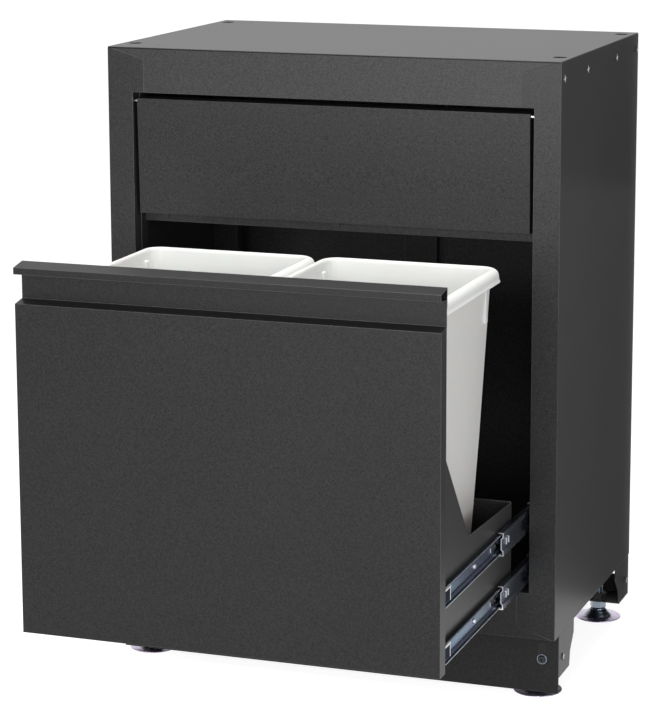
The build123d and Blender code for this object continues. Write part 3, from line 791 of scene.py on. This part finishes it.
@dataclass(frozen=True)
class CrossHeadScrew:
    """A domed screw head with a cross recess, in millimetres.

    The crown is the flat round the recess as a share of the radius. The dome's line gives
    shares of the radius and of the dome's height. The star is a painted glint round the recess:
    its points reach a share of the radius, its waist lies outside the recess.
    """

    radius: float
    dome: float
    recess_length: float
    recess_width: float
    recess_depth: float
    recess_taper: float = 0.55
    lift: float = 0.02
    crown: float = 0.72
    dome_line: Line = ((0.86, 0.62), (0.95, 0.3), (1.0, 0.0))
    sides: int = 32
    star_reach: float = 1.15
    star_waist: float = 2.0
    star_lift: float = 0.16
    star_thickness: float = 0.12

    @staticmethod
    def star(form: Form, tip: float, waist: float, level: float) -> list[Edge]:
        """Draws a star with four points.

        Args:
            form: Shape to add to.
            tip: Distance of its points from the middle, in millimetres.
            waist: Distance of the corners between them, in millimetres.
            level: Its height, in millimetres.

        Returns:
            Its edges.
        """
        reach = [(waist if turn % 2 else tip) * MM for turn in range(8)]
        turns = [math.radians(45.0) * turn for turn in range(8)]
        places = [(r * math.cos(a), r * math.sin(a), level * MM) for r, a in zip(reach, turns)]
        return form.chain(places, closed=True)

    def glint(self, form: Form, seat: Matrix) -> None:
        """Adds the star of painted glint round one head's recess.

        Args:
            form: Shape to add to.
            seat: Where the head goes.
        """
        before, faces = set(form.mesh.verts), set(form.mesh.faces)
        level = self.dome + self.star_lift
        waist = self.recess_width + self.star_waist
        edges = self.star(form, self.radius * self.star_reach, waist, level)
        edges += self.star(form, self.recess_length, self.recess_width, level)
        bmesh.ops.triangle_fill(form.mesh, edges=edges, use_beauty=True, use_dissolve=False)
        form.thicken(faces, self.star_thickness)
        form.seat(before, seat @ HEAD_TURN)

    def add(self, form: Form, seat: Matrix) -> None:
        """Adds one head.

        Args:
            form: Shape to add to.
            seat: Where the head goes.
        """
        before = set(form.mesh.verts)
        top = self.dome + self.lift
        cross = self.star(form, self.recess_length, self.recess_width, top)
        ring = bmesh.ops.create_circle(
            form.mesh,
            cap_ends=False,
            radius=self.radius * self.crown * MM,
            segments=self.sides,
            matrix=Matrix.Translation((0.0, 0.0, top * MM)),
        )["verts"]
        loop = list({edge for vert in ring for edge in vert.link_edges})
        edges = [*cross, *loop]
        bmesh.ops.triangle_fill(form.mesh, edges=edges, use_beauty=True, use_dissolve=False)
        sunk, floor = form.extrude(cross)
        for vert in sunk:
            vert.co.x *= self.recess_taper
            vert.co.y *= self.recess_taper
            vert.co.z -= self.recess_depth * MM
        bmesh.ops.edgeloop_fill(form.mesh, edges=floor)
        for share, height in self.dome_line:
            verts, loop = form.extrude(loop)
            for vert in verts:
                flat = Vector((vert.co.x, vert.co.y)).normalized() * self.radius * share * MM
                vert.co = (flat.x, flat.y, self.dome * height * MM)
        bmesh.ops.edgeloop_fill(form.mesh, edges=loop)
        form.seat(before, seat @ HEAD_TURN)


FLUSH_HEAD = CrossHeadScrew(5.35, 1.6, recess_length=1.5, recess_width=0.5, recess_depth=1.2)
KICK_HEAD = CrossHeadScrew(6.6, 3.4, recess_length=3.6, recess_width=1.1, recess_depth=2.0)
PAN_HEAD = CrossHeadScrew(4.0, 2.2, recess_length=2.2, recess_width=0.6, recess_depth=1.4)


@dataclass
class Shell:
    """The fixed steel cabinet: sheets, screws, weld marks. All sizes are in millimetres."""

    finishes: Finishes
    half_width: float = 340.0
    face: float = -25.75
    back: float = 432.25
    top: float = 920.0
    screw_sink: float = 0.02
    side_screw_z: float = 895.6
    side_screws: tuple[float, ...] = (-12.25, 117.25, 289.25, 422.0)
    back_screw_x: float = 330.0
    back_screws: tuple[float, ...] = (162.0, 506.0, 850.0)
    leg_screws: Point = (21.45, 413.25)
    leg_screw_z: float = 54.5
    kick_screw: Point = (315.0, -0.75)
    # Profile of the bright ring of painted highlight round each kick screw head.
    kick_ring: Line = ((6.0, -0.1), (7.4, -0.1), (7.4, 0.3), (7.2, 0.5), (6.0, 0.5))
    # Place and size of the strip of painted shade along the top's front fold.
    edge_shade_z: float = 918.3
    edge_shade_size: Place = (677.0, 0.16, 0.8)
    weld_x: float = 281.5
    weld_ys: Point = (24.25, 395.25)
    weld: Line = ((0.0, 0.1), (2.6, 0.14), (3.6, 0.1), (4.4, 0.0), (4.4, -0.2), (0.0, -0.2))

    def dress(self) -> None:
        """Puts the fitting material on every CAD node of the record."""
        slots = {row["node"]: row["material_slot"] for row in frame["record"]["subparts"]}
        for name, node in frame["nodes"].items():
            material = self.finishes.by_slot[Slot(slots[name])]
            for start, special in self.finishes.by_name.items():
                if name.startswith(start):
                    material = special
            node.data.materials.clear()
            node.data.materials.append(material)

    def screws(self) -> None:
        """Builds the countersunk screws of the shell and its legs, with their stars of painted
        glint.
        """
        flank, back = self.half_width - self.screw_sink, self.back - self.screw_sink
        shell, legs = [], []
        for side in Side:
            out = side.outwards
            shell += [facing(side.at(flank, y, self.side_screw_z), out) for y in self.side_screws]
            legs += [facing(side.at(flank, y, self.leg_screw_z), out) for y in self.leg_screws]
            places = (side.at(self.back_screw_x, back, z) for z in self.back_screws)
            shell += [facing(place, BACKWARD) for place in places]
        for name, seats in (("cabinet_screw", shell), ("leg_screw", legs)):
            heads, stars = Form(), Form()
            for seat in seats:
                FLUSH_HEAD.add(heads, seat)
                FLUSH_HEAD.glint(stars, seat)
            heads.piece(f"{name}_heads", self.finishes.black, "cabinet", Slot.ZINC)
            # The stars are painted glints: white pieces standing for light caught in the recesses.
            stars.piece(f"{name}_stars", self.finishes.painted_glint, "cabinet", Slot.ZINC)

    def kick_screws(self) -> None:
        """Builds the two screws of the kick plate and bright zinc rings round them, which paint the
        ring highlight of the domed heads.
        """
        heads, rings = Form(), Form()
        for side in Side:
            place = side.at(*self.kick_screw, self.leg_screw_z)
            KICK_HEAD.add(heads, facing(place, FORWARD))
            # Painted highlight: a bright zinc ring round each head's rim.
            rings.lathe(self.kick_ring, place, 36, FORWARD)
        stands_for = ["kick_plate_screws"]
        heads.piece("kick_screw_heads", self.finishes.black, "cabinet", Slot.BLACK, stands_for)
        rings.piece("kick_screw_highlight_rings", self.finishes.rail, "cabinet", Slot.BLACK)

    def seam(self) -> None:
        """Draws a thin dark strip of painted shade along the fold where the top's edge rolls over
        the front rail.
        """
        form = Form()
        form.block((0.0, self.face * MM, self.edge_shade_z * MM), self.edge_shade_size)
        form.piece("top_edge_seam", self.finishes.gap, "cabinet", Slot.COAT)

    def weld_marks(self) -> None:
        """Builds the faint spot-weld marks on the top panel."""
        form = Form()
        for side in Side:
            for y in self.weld_ys:
                form.lathe(self.weld, side.at(self.weld_x, y, self.top), 28)
        form.piece("weld_marks", self.finishes.coat, "cabinet", Slot.COAT)

    def build(self) -> None:
        """Builds all of it."""
        self.dress()
        self.screws()
        self.kick_screws()
        self.seam()
        self.weld_marks()


@dataclass
class LevellingFoot:
    """A pressed steel base and a threaded stud with its hexagon. Sizes are in millimetres.

    Lines give radius and height. The tooth's heights are measured from the thread's low end.
    """

    finishes: Finishes
    side: Side
    end: End
    x: float = 303.0
    front_y: float = 22.25
    rear_y: float = 382.25
    core: float = 5.9
    low: float = 6.0
    top: float = 76.0
    chamfer: float = 1.2
    thread_low: float = 29.0
    turns: int = 22
    turn_steps: int = 20
    pitch: float = 2.0
    tooth: Line = ((5.8, -0.9), (7.0, -0.12), (7.0, 0.12), (5.8, 0.9))
    hexagon: Line = (
        *((0.0, 16.0), (11.172, 16.0), (12.54, 16.8)),
        *((12.54, 26.8), (11.172, 27.6), (0.0, 27.6)),
    )
    press: Line = (
        *((0.0, 1.2), (27.5, 1.2), (30.0, 0.0), (34.6, 0.0), (35.4, 0.5), (35.5, 1.2)),
        *((35.0, 1.9), (33.8, 2.0), (27.0, 2.1), (22.5, 2.4), (20.8, 3.0), (19.6, 4.2)),
        *((16.6, 8.0), (15.4, 8.9), (14.9, 9.6), (12.8, 12.6), (11.6, 13.4), (11.3, 14.4)),
        *((10.4, 15.0), (7.2, 15.0), (7.2, 10.0), (0.0, 10.0)),
    )

    @property
    def centre(self) -> Place:
        """Middle of the base on the floor, in metres."""
        return self.side.at(self.x, self.front_y if self.end is End.FRONT else self.rear_y, 0.0)

    def piece(self, form: Form, work: str, kind: str) -> None:
        """Turns a shape into a piece of this foot.

        Args:
            form: The finished shape.
            work: How it is made, the first word of its name.
            kind: Which CAD node of the foot it replaces.
        """
        tag = f"{self.end.value}_{self.side.label}"
        name = f"foot_{kind}_{tag}"
        form.piece(f"{work}_{name}", self.finishes.foot, f"foot_{tag}", Slot.ZINC, [name])

    def base(self) -> None:
        """Turns the base: a dished disc with a rolled rim, a stepped cone and a collar."""
        form = Form()
        form.lathe(self.press, self.centre, 64)
        self.piece(form, "pressed", "base")

    def screw(self) -> None:
        """Builds the stud with its thread, and the hexagon under the bracket."""
        form = Form()
        low, core, top = self.low, self.core, self.top
        tip = ((core, top - self.chamfer), (core - self.chamfer, top), (0.0, top))
        form.lathe(((0.0, low), (core, low), *tip), self.centre, 24)
        before = set(form.mesh.verts)
        places = [(radius * MM, 0.0, (self.thread_low + up) * MM) for radius, up in self.tooth]
        tooth = form.chain(places, closed=True)
        verts = {vert for edge in tooth for vert in edge.verts}
        cap = bmesh.ops.edgeloop_fill(form.mesh, edges=tooth)["faces"]
        bmesh.ops.spin(
            form.mesh,
            geom=[*verts, *tooth, *cap],
            cent=(0.0, 0.0, 0.0),
            axis=UP,
            dvec=(0.0, 0.0, self.pitch * MM / self.turn_steps),
            angle=math.tau * self.turns,
            steps=self.turn_steps * self.turns,
        )
        form.seat(before, Matrix.Translation(self.centre))
        form.lathe(self.hexagon, self.centre, 6)
        self.piece(form, "threaded", "stud")

    def build(self) -> None:
        """Builds both pieces."""
        self.base()
        self.screw()


@dataclass
class WasteBin:
    """A tapered moulded bin with a rolled rim, a bead under it and nesting lugs.

    Sizes are in millimetres. The rim's line gives growth and depth below its top.
    """

    finishes: Finishes
    side: Side
    out: float = 12.0
    corner: float = 18.0
    least_corner: float = 2.0
    taper: float = 29.0
    wall: float = 2.5
    segments: int = 8
    lug_size: Place = (6.0, 11.0, 58.0)
    lug_edge: float = 1.6
    lug_from_wall: float = 1.2
    lug_from_end: float = 44.0
    lug_from_top: float = 44.0
    rim: Line = (
        *((-0.4, 12.0), (0.6, 6.4), (3.2, 3.8), (6.4, 4.6), (8.3, 8.2), (9.2, 13.0), (9.8, 16.6)),
        *((10.6, 18.4), (12.0, 18.7), (12.9, 17.9), (12.7, 16.7), (11.9, 15.8), (11.3, 11.4)),
        *((10.6, 7.2), (9.0, 3.7), (6.6, 1.4), (3.8, 0.2), (1.6, 0.0), (0.0, 0.2)),
        *((-1.2, 0.9), (-1.9, 2.6), (-2.2, 5.6), (-2.5, 12.0)),
    )

    def __post_init__(self) -> None:
        """Starts the bin's shape and reads its place from its CAD node."""
        self.form = Form()
        self.low, self.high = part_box(f"bin_{self.side.label}")
        self.centre = (self.low + self.high) / 2

    def ring(self, grow: float, z: float) -> list[Place]:
        """One rounded rectangle round the bin.

        Args:
            grow: Distance outside the body's mouth outline, in millimetres.
            z: Height in metres.

        Returns:
            Its corners in order, in metres.
        """
        half_x = (self.high.x - self.low.x) / 2 - self.out * MM
        half_y = (self.high.y - self.low.y) / 2 - self.out * MM
        core = self.corner * MM
        radius = max(core + grow * MM, self.least_corner * MM)
        shrink = core + grow * MM - radius
        places = []
        for quarter, (sx, sy) in enumerate(((1, 1), (-1, 1), (-1, -1), (1, -1))):
            for step in range(self.segments + 1):
                angle = math.radians(90.0) * (quarter + step / self.segments)
                x = self.centre.x + sx * (half_x - core + shrink) + radius * math.cos(angle)
                y = self.centre.y + sy * (half_y - core + shrink) + radius * math.sin(angle)
                places.append((x, y, z))
        return places

    def profile(self) -> list[Point]:
        """Outline of the wall from the outer floor over the rim to the inner floor.

        Returns:
            Growth and depth below the rim's top, in millimetres.
        """
        full = (self.high.z - self.low.z) / MM
        lean = self.taper / full
        wall = self.wall
        levels = (21.0, 40.0, 60.0, full * 0.25, full * 0.5, full * 0.75)
        outer_foot = [(full, 9.0), (full - 0.4, 5.0), (full - 2.2, 2.0), (full - 6.0, 0.3)]
        outer = [*outer_foot, (full - 12.0, 0.0), *((depth, 0.0) for depth in reversed(levels))]
        inner = [*((depth, wall) for depth in levels), (full - 14.0, wall)]
        inner += [(full - 8.0, 3.2), (full - 4.2, 5.2), (full - 2.6, 9.0)]
        outer, inner = (
            [(-lean * depth - inset, depth) for depth, inset in line] for line in (outer, inner)
        )
        return [*outer, *self.rim, *inner]

    def shell(self) -> None:
        """Skins the rings of the profile."""
        form = self.form
        rings = [self.ring(grow, self.high.z - depth * MM) for grow, depth in self.profile()]
        loops = [form.chain(places, closed=True) for places in rings]
        for first, second in zip(loops, loops[1:]):
            bmesh.ops.bridge_loops(form.mesh, edges=[*first, *second])
        for floor in (loops[0], loops[-1]):
            bmesh.ops.edgeloop_fill(form.mesh, edges=floor)

    def lugs(self) -> None:
        """Adds the nesting lugs inside the left and right walls."""
        inset = (self.out + self.wall + self.lug_from_wall) * MM
        reach = (self.high.x - self.low.x) / 2 - inset
        from_end, z = self.lug_from_end * MM, self.high.z - self.lug_from_top * MM
        for sign in (-1, 1):
            for y in (self.high.y - from_end, self.low.y + from_end):
                place = (self.centre.x + sign * reach, y, z)
                self.form.block(place, self.lug_size, self.lug_edge, 3)

    def build(self) -> None:
        """Builds the bin."""
        self.shell()
        self.lugs()
        name, plastic = f"bin_{self.side.label}", self.finishes.plastic
        self.form.piece(f"moulded_{name}", plastic, name, Slot.PLASTIC, [name], BIN_SMOOTH_ANGLE)


@dataclass
class Slide:
    """Cut edges, painted highlights on the rolled lips, lances and screw heads that finish one
    telescopic slide.

    Sizes are in millimetres. Sections give the distance out from the tray's side and the height
    above the slide's middle. A lip highlight is its place out and up, its width, height and edge
    radius.
    """

    finishes: Finishes
    side: Side
    level: Level
    tray_side: float = 287.3
    screws: Point = (-255.75, -99.75)
    screw_out: float = 1.0
    middle_section: Line = ((7.9, 7.0), (10.5, 9.6), (10.5, 16.8), (2.4, 16.8))
    cut_ahead: float = 0.3
    cut_depth: float = 1.3
    cut_thickness: float = 1.5
    lip_highlight_bars: tuple[tuple[float, ...], ...] = (
        (6.75, -13.0, 0.9, 1.0, 0.35),
        (6.6, 13.1, 0.7, 0.6, 0.25),
    )
    curl: Line = ((5.4, 12.9), (6.5, 12.4), (6.9, 11.2), (6.9, 9.6), (6.4, 8.4), (5.4, 7.9))
    curl_thickness: float = 0.9
    stop_length: float = 22.0
    stop_out: float = 6.0
    stop_rim: Place = (1.0, 1.1, 17.2)
    slot_front: float = 222.4
    slot_out: float = 1.5
    slot_rim_highlight: Place = (1.0, 0.9, 6.0)
    windows: Point = (19.6, 30.6)
    lance_out: float = 8.9
    lance: Place = (2.0, 0.9, 9.4)
    bar_edge: float = 0.3

    def __post_init__(self) -> None:
        """Reads the rails' places from their CAD nodes."""
        low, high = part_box(f"middle_rail_{self.tag}")
        self.z = (low.z + high.z) / 2 / MM
        self.middle_front = low.y / MM
        low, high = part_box(f"drawer_rail_{self.tag}")
        self.rail_front, self.rail_back = low.y / MM, high.y / MM

    @property
    def tag(self) -> str:
        """The end of the slide's node names."""
        return f"{self.level.value}_{self.side.label}"

    def at(self, out: float, y: float, up: float) -> Place:
        """A place on the slide.

        Args:
            out: Distance out from the tray's side, in millimetres.
            y: Place along Y, in millimetres.
            up: Height above the slide's middle, in millimetres.

        Returns:
            The place in metres.
        """
        return self.side.at(self.tray_side + out, y, self.z + up)

    def cut_edges(self) -> None:
        """Builds the bright cut edge in front of the middle rail."""
        form = Form()
        y = self.middle_front - self.cut_ahead
        line = [self.at(out, y, -up) for out, up in reversed(self.middle_section)]
        line += [self.at(out, y, up) for out, up in self.middle_section]
        form.ribbon(line, self.cut_depth, self.cut_thickness)
        rail = f"middle_rail_{self.tag}"
        form.piece(f"cut_edge_middle_{self.tag}", self.finishes.cut, rail, Slot.ZINC)

    def lips(self) -> None:
        """Builds bright strips of painted highlight along the drawer rail's lips and on the slot's
        rim, and its curled end round the stop.
        """
        form = Form()
        length = self.rail_back - self.rail_front
        # Painted highlight: thin bright bars along the lips' edges stand for the light they catch.
        for out, up, width, height, edge in self.lip_highlight_bars:
            place = self.at(out, self.rail_front + length / 2, up)
            form.block(place, (width, length, height), edge)
        line = [self.at(out, self.rail_front, up) for out, up in self.curl]
        form.ribbon(line, self.stop_length + 1.0, self.curl_thickness)
        stop = self.rail_front + self.stop_length + 0.5
        form.block(self.at(self.stop_out, stop, 0.0), self.stop_rim, self.bar_edge)
        # Painted highlight: a small bright bar where the slot's rim catches the light.
        slot = self.rail_front + self.slot_front
        form.block(self.at(self.slot_out, slot, 0.0), self.slot_rim_highlight, self.bar_edge)
        form.piece(f"rolled_lips_{self.tag}", self.finishes.cut, "drawer", Slot.ZINC)

    def lances(self) -> None:
        """Builds the bent lips behind the middle rail's two windows."""
        form = Form()
        for back in self.windows:
            place = self.at(self.lance_out, self.middle_front + back, 0.0)
            form.block(place, self.lance, self.bar_edge)
        rail = f"middle_rail_{self.tag}"
        form.piece(f"lances_{self.tag}", self.finishes.cut, rail, Slot.ZINC)

    def build(self) -> None:
        """Builds the slide's additions."""
        self.cut_edges()
        self.lips()
        self.lances()

    def add_screws(self, form: Form) -> None:
        """Adds the heads of the slide's screws.

        Args:
            form: Shape to add to.
        """
        for y in self.screws:
            PAN_HEAD.add(form, facing(self.at(self.screw_out, y, 0.0), self.side.outwards))


@dataclass
class TrayScrews:
    """Pan-head screws that hold the slides and the front to the tray, in millimetres."""

    finishes: Finishes
    flange_x: float = 277.1
    face_y: float = -400.55
    heights: Point = (230.0, 400.0)

    def build(self, slides: Sequence[Slide]) -> None:
        """Builds all heads as one piece.

        Args:
            slides: The slides whose screws are added.
        """
        form = Form()
        for slide in slides:
            slide.add_screws(form)
        for side in Side:
            for z in self.heights:
                PAN_HEAD.add(form, facing(side.at(self.flange_x, self.face_y, z), BACKWARD))
        stands_for = ["tray_screws"]
        form.piece("tray_screw_heads", self.finishes.turned, "drawer", Slot.ZINC, stands_for)


@dataclass
class TrayMarks:
    """Small pressed marks on the tray's sides, in millimetres."""

    finishes: Finishes
    face: float = 287.3
    y: float = -170.75
    heights: Point = (210.0, 288.0)
    mark: Line = ((0.0, 0.9), (1.6, 0.75), (2.8, 0.3), (3.6, 0.0), (3.6, -0.3), (0.0, -0.3))

    def build(self) -> None:
        """Builds the marks on both sides."""
        form = Form()
        for side in Side:
            for z in self.heights:
                form.lathe(self.mark, side.at(self.face, self.y, z), 24, side.outwards)
        form.piece("tray_marks", self.finishes.coat, "drawer", Slot.COAT)


@dataclass(frozen=True)
class Lamp:
    """A soft rectangular lamp that faces a point. Lengths are in metres, its power in watts."""

    name: str
    place: Place
    aim: Place
    size: Point
    power: float

    def hang(self) -> None:
        """Adds it to the scene."""
        data = bpy.data.lights.new(self.name, "AREA")
        data.shape = "RECTANGLE"
        data.size, data.size_y = self.size
        data.energy = self.power
        made = add_object(self.name, data)
        made.location = self.place
        ahead = Vector(self.aim) - Vector(self.place)
        made.rotation_euler = ahead.to_track_quat("-Z", "Y").to_euler()


@dataclass(frozen=True)
class Card:
    """An upright grey card, in metres, that the camera doesn't see and that casts no shadow."""

    name: str
    place: Place
    size: Point
    tone: float

    def stand(self) -> None:
        """Adds it to the scene."""
        upright = Matrix.Translation(self.place) @ Matrix.Rotation(math.radians(90.0), 4, "X")
        seat = upright @ Matrix.Diagonal((*self.size, 1.0, 1.0))
        shape = bmesh.new()
        bmesh.ops.create_grid(shape, x_segments=1, y_segments=1, size=0.5, matrix=seat)
        surface = Surface(self.name)
        grey = (self.tone, self.tone, self.tone, 1.0)
        wire(surface.shader, {"Base Color": grey, "Roughness": 1.0})
        made = add_mesh(shape, self.name, surface.material)
        made.visible_camera = False
        made.visible_shadow = False


LAMPS = (
    Lamp("top light", (0.0, -0.35, 3.2), (0.0, -0.25, 0.4), (1.2, 1.0), 64.0),
    Lamp("key light", (-0.3, -3.2, 1.1), (0.2, 0.0, 0.85), (1.3, 1.0), 58.0),
    Lamp("low light", (1.3, -3.1, 0.9), (0.2, 0.0, 0.7), (0.9, 0.9), 18.0),
    Lamp("right light", (3.4, -2.2, 1.1), (0.2, 0.0, 0.4), (1.2, 1.2), 30.0),
)
CARDS = (
    Card("front_card", (0.4, -5.4, 2.4), (8.0, 4.8), 0.12),
    Card("right_card", (1.295, 0.455, 1.19), (1.9, 1.02), 0.17),
    Card("low_card", (1.295, 0.455, 0.34), (1.9, 0.68), 0.27),
)


@dataclass
class Studio:
    """Floor, light and camera. Sky and glow are levels of white, the floor's half is in metres."""

    frame_long_side: float = 720.0
    focal_pixels: float = 2609.8
    sensor: float = 36.0
    place: Place = (1.24806, -3.47936, 1.29031)
    yaw: float = 0.327536
    pitch: float = 0.182675
    shift_pixels: Point = (-52.2, -91.3)
    clip: Point = (0.1, 50.0)
    sky_level: float = 0.36
    floor_glow: float = 0.86
    floor_tone: float = 0.5
    floor_half: float = 14.0

    def camera(self) -> None:
        """Sets the camera at the photograph's angle."""
        data = bpy.data.cameras.new("camera")
        data.sensor_width = self.sensor
        data.lens = self.focal_pixels * self.sensor / self.frame_long_side
        data.shift_x, data.shift_y = (shift / self.frame_long_side for shift in self.shift_pixels)
        data.clip_start, data.clip_end = self.clip
        made = add_object("camera", data)
        made.location = self.place
        level = math.cos(self.pitch)
        ahead = (-math.sin(self.yaw) * level, math.cos(self.yaw) * level, -math.sin(self.pitch))
        made.rotation_euler = Vector(ahead).to_track_quat("-Z", "Y").to_euler()
        bpy.context.scene.camera = made

    @staticmethod
    def show_white(tree: bpy.types.NodeTree) -> Socket:
        """Finds the rays that show the white background.

        Args:
            tree: Node tree that gets the nodes.

        Returns:
            An output that is 1 for camera, glossy and transmission rays.
        """
        path = tree.nodes.new("ShaderNodeLightPath")
        total = path.outputs["Is Camera Ray"]
        for name in ("Is Glossy Ray", "Is Transmission Ray"):
            most = tree.nodes.new("ShaderNodeMath")
            most.operation = "MAXIMUM"
            total = wire(most, {0: total, 1: path.outputs[name]}).outputs["Value"]
        return total

    def sky(self) -> None:
        """Lights the room evenly and shows white as the background."""
        world = bpy.data.worlds.new("room")
        world.use_nodes = True
        bpy.context.scene.world = world
        tree = world.node_tree
        even = wire(tree.nodes["Background"], {"Color": WHITE, "Strength": self.sky_level})
        white = wire(tree.nodes.new("ShaderNodeBackground"), {"Color": WHITE, "Strength": 1.0})
        lights = {1: even.outputs["Background"], 2: white.outputs["Background"]}
        rays = self.show_white(tree)
        mix = wire(tree.nodes.new("ShaderNodeMixShader"), {"Fac": rays, **lights})
        wire(tree.nodes["World Output"], {"Surface": mix.outputs["Shader"]})

    def floor(self) -> None:
        """Lays a pale floor that glows white and keeps a soft shadow."""
        shape = bmesh.new()
        bmesh.ops.create_grid(shape, x_segments=1, y_segments=1, size=self.floor_half)
        material = bpy.data.materials.new("pale floor")
        material.use_nodes = True
        tree = material.node_tree
        tree.nodes.clear()
        grey = (self.floor_tone, self.floor_tone, self.floor_tone, 1.0)
        lit = wire(tree.nodes.new("ShaderNodeBsdfDiffuse"), {"Color": grey})
        level = tree.nodes.new("ShaderNodeMath")
        level.operation = "MULTIPLY"
        wire(level, {0: self.show_white(tree), 1: self.floor_glow})
        strength = {"Strength": level.outputs["Value"]}
        shine = wire(tree.nodes.new("ShaderNodeEmission"), strength)
        lights = {0: lit.outputs["BSDF"], 1: shine.outputs["Emission"]}
        total = wire(tree.nodes.new("ShaderNodeAddShader"), lights)
        wire(tree.nodes.new("ShaderNodeOutputMaterial"), {"Surface": total.outputs["Shader"]})
        made = add_mesh(shape, "floor", material)

    def build(self) -> None:
        """Sets everything up."""
        bpy.context.scene.view_settings.view_transform = "Standard"
        self.sky()
        self.floor()
        for lamp in LAMPS:
            lamp.hang()
        for card in CARDS:
            card.stand()
        self.camera()


def main() -> None:
    """Builds the looks."""
    logging.basicConfig(level=logging.INFO, format="%(message)s")
    finishes = Finishes()
    Shell(finishes).build()
    LOG.info("shell dressed")
    slides = [Slide(finishes, side, level) for side in Side for level in Level]
    for slide in slides:
        slide.build()
        LOG.info("slide finished, %s", slide.tag)
    TrayScrews(finishes).build(slides)
    for side in Side:
        for end in End:
            LevellingFoot(finishes, side, end).build()
        LOG.info("feet built, %s", side.label)
        WasteBin(finishes, side).build()
        LOG.info("bin built, %s", side.label)
    TrayMarks(finishes).build()
    Studio().build()
    bpy.context.view_layer.update()
    LOG.info("sizes written")


if __name__ == "__main__":
    main()
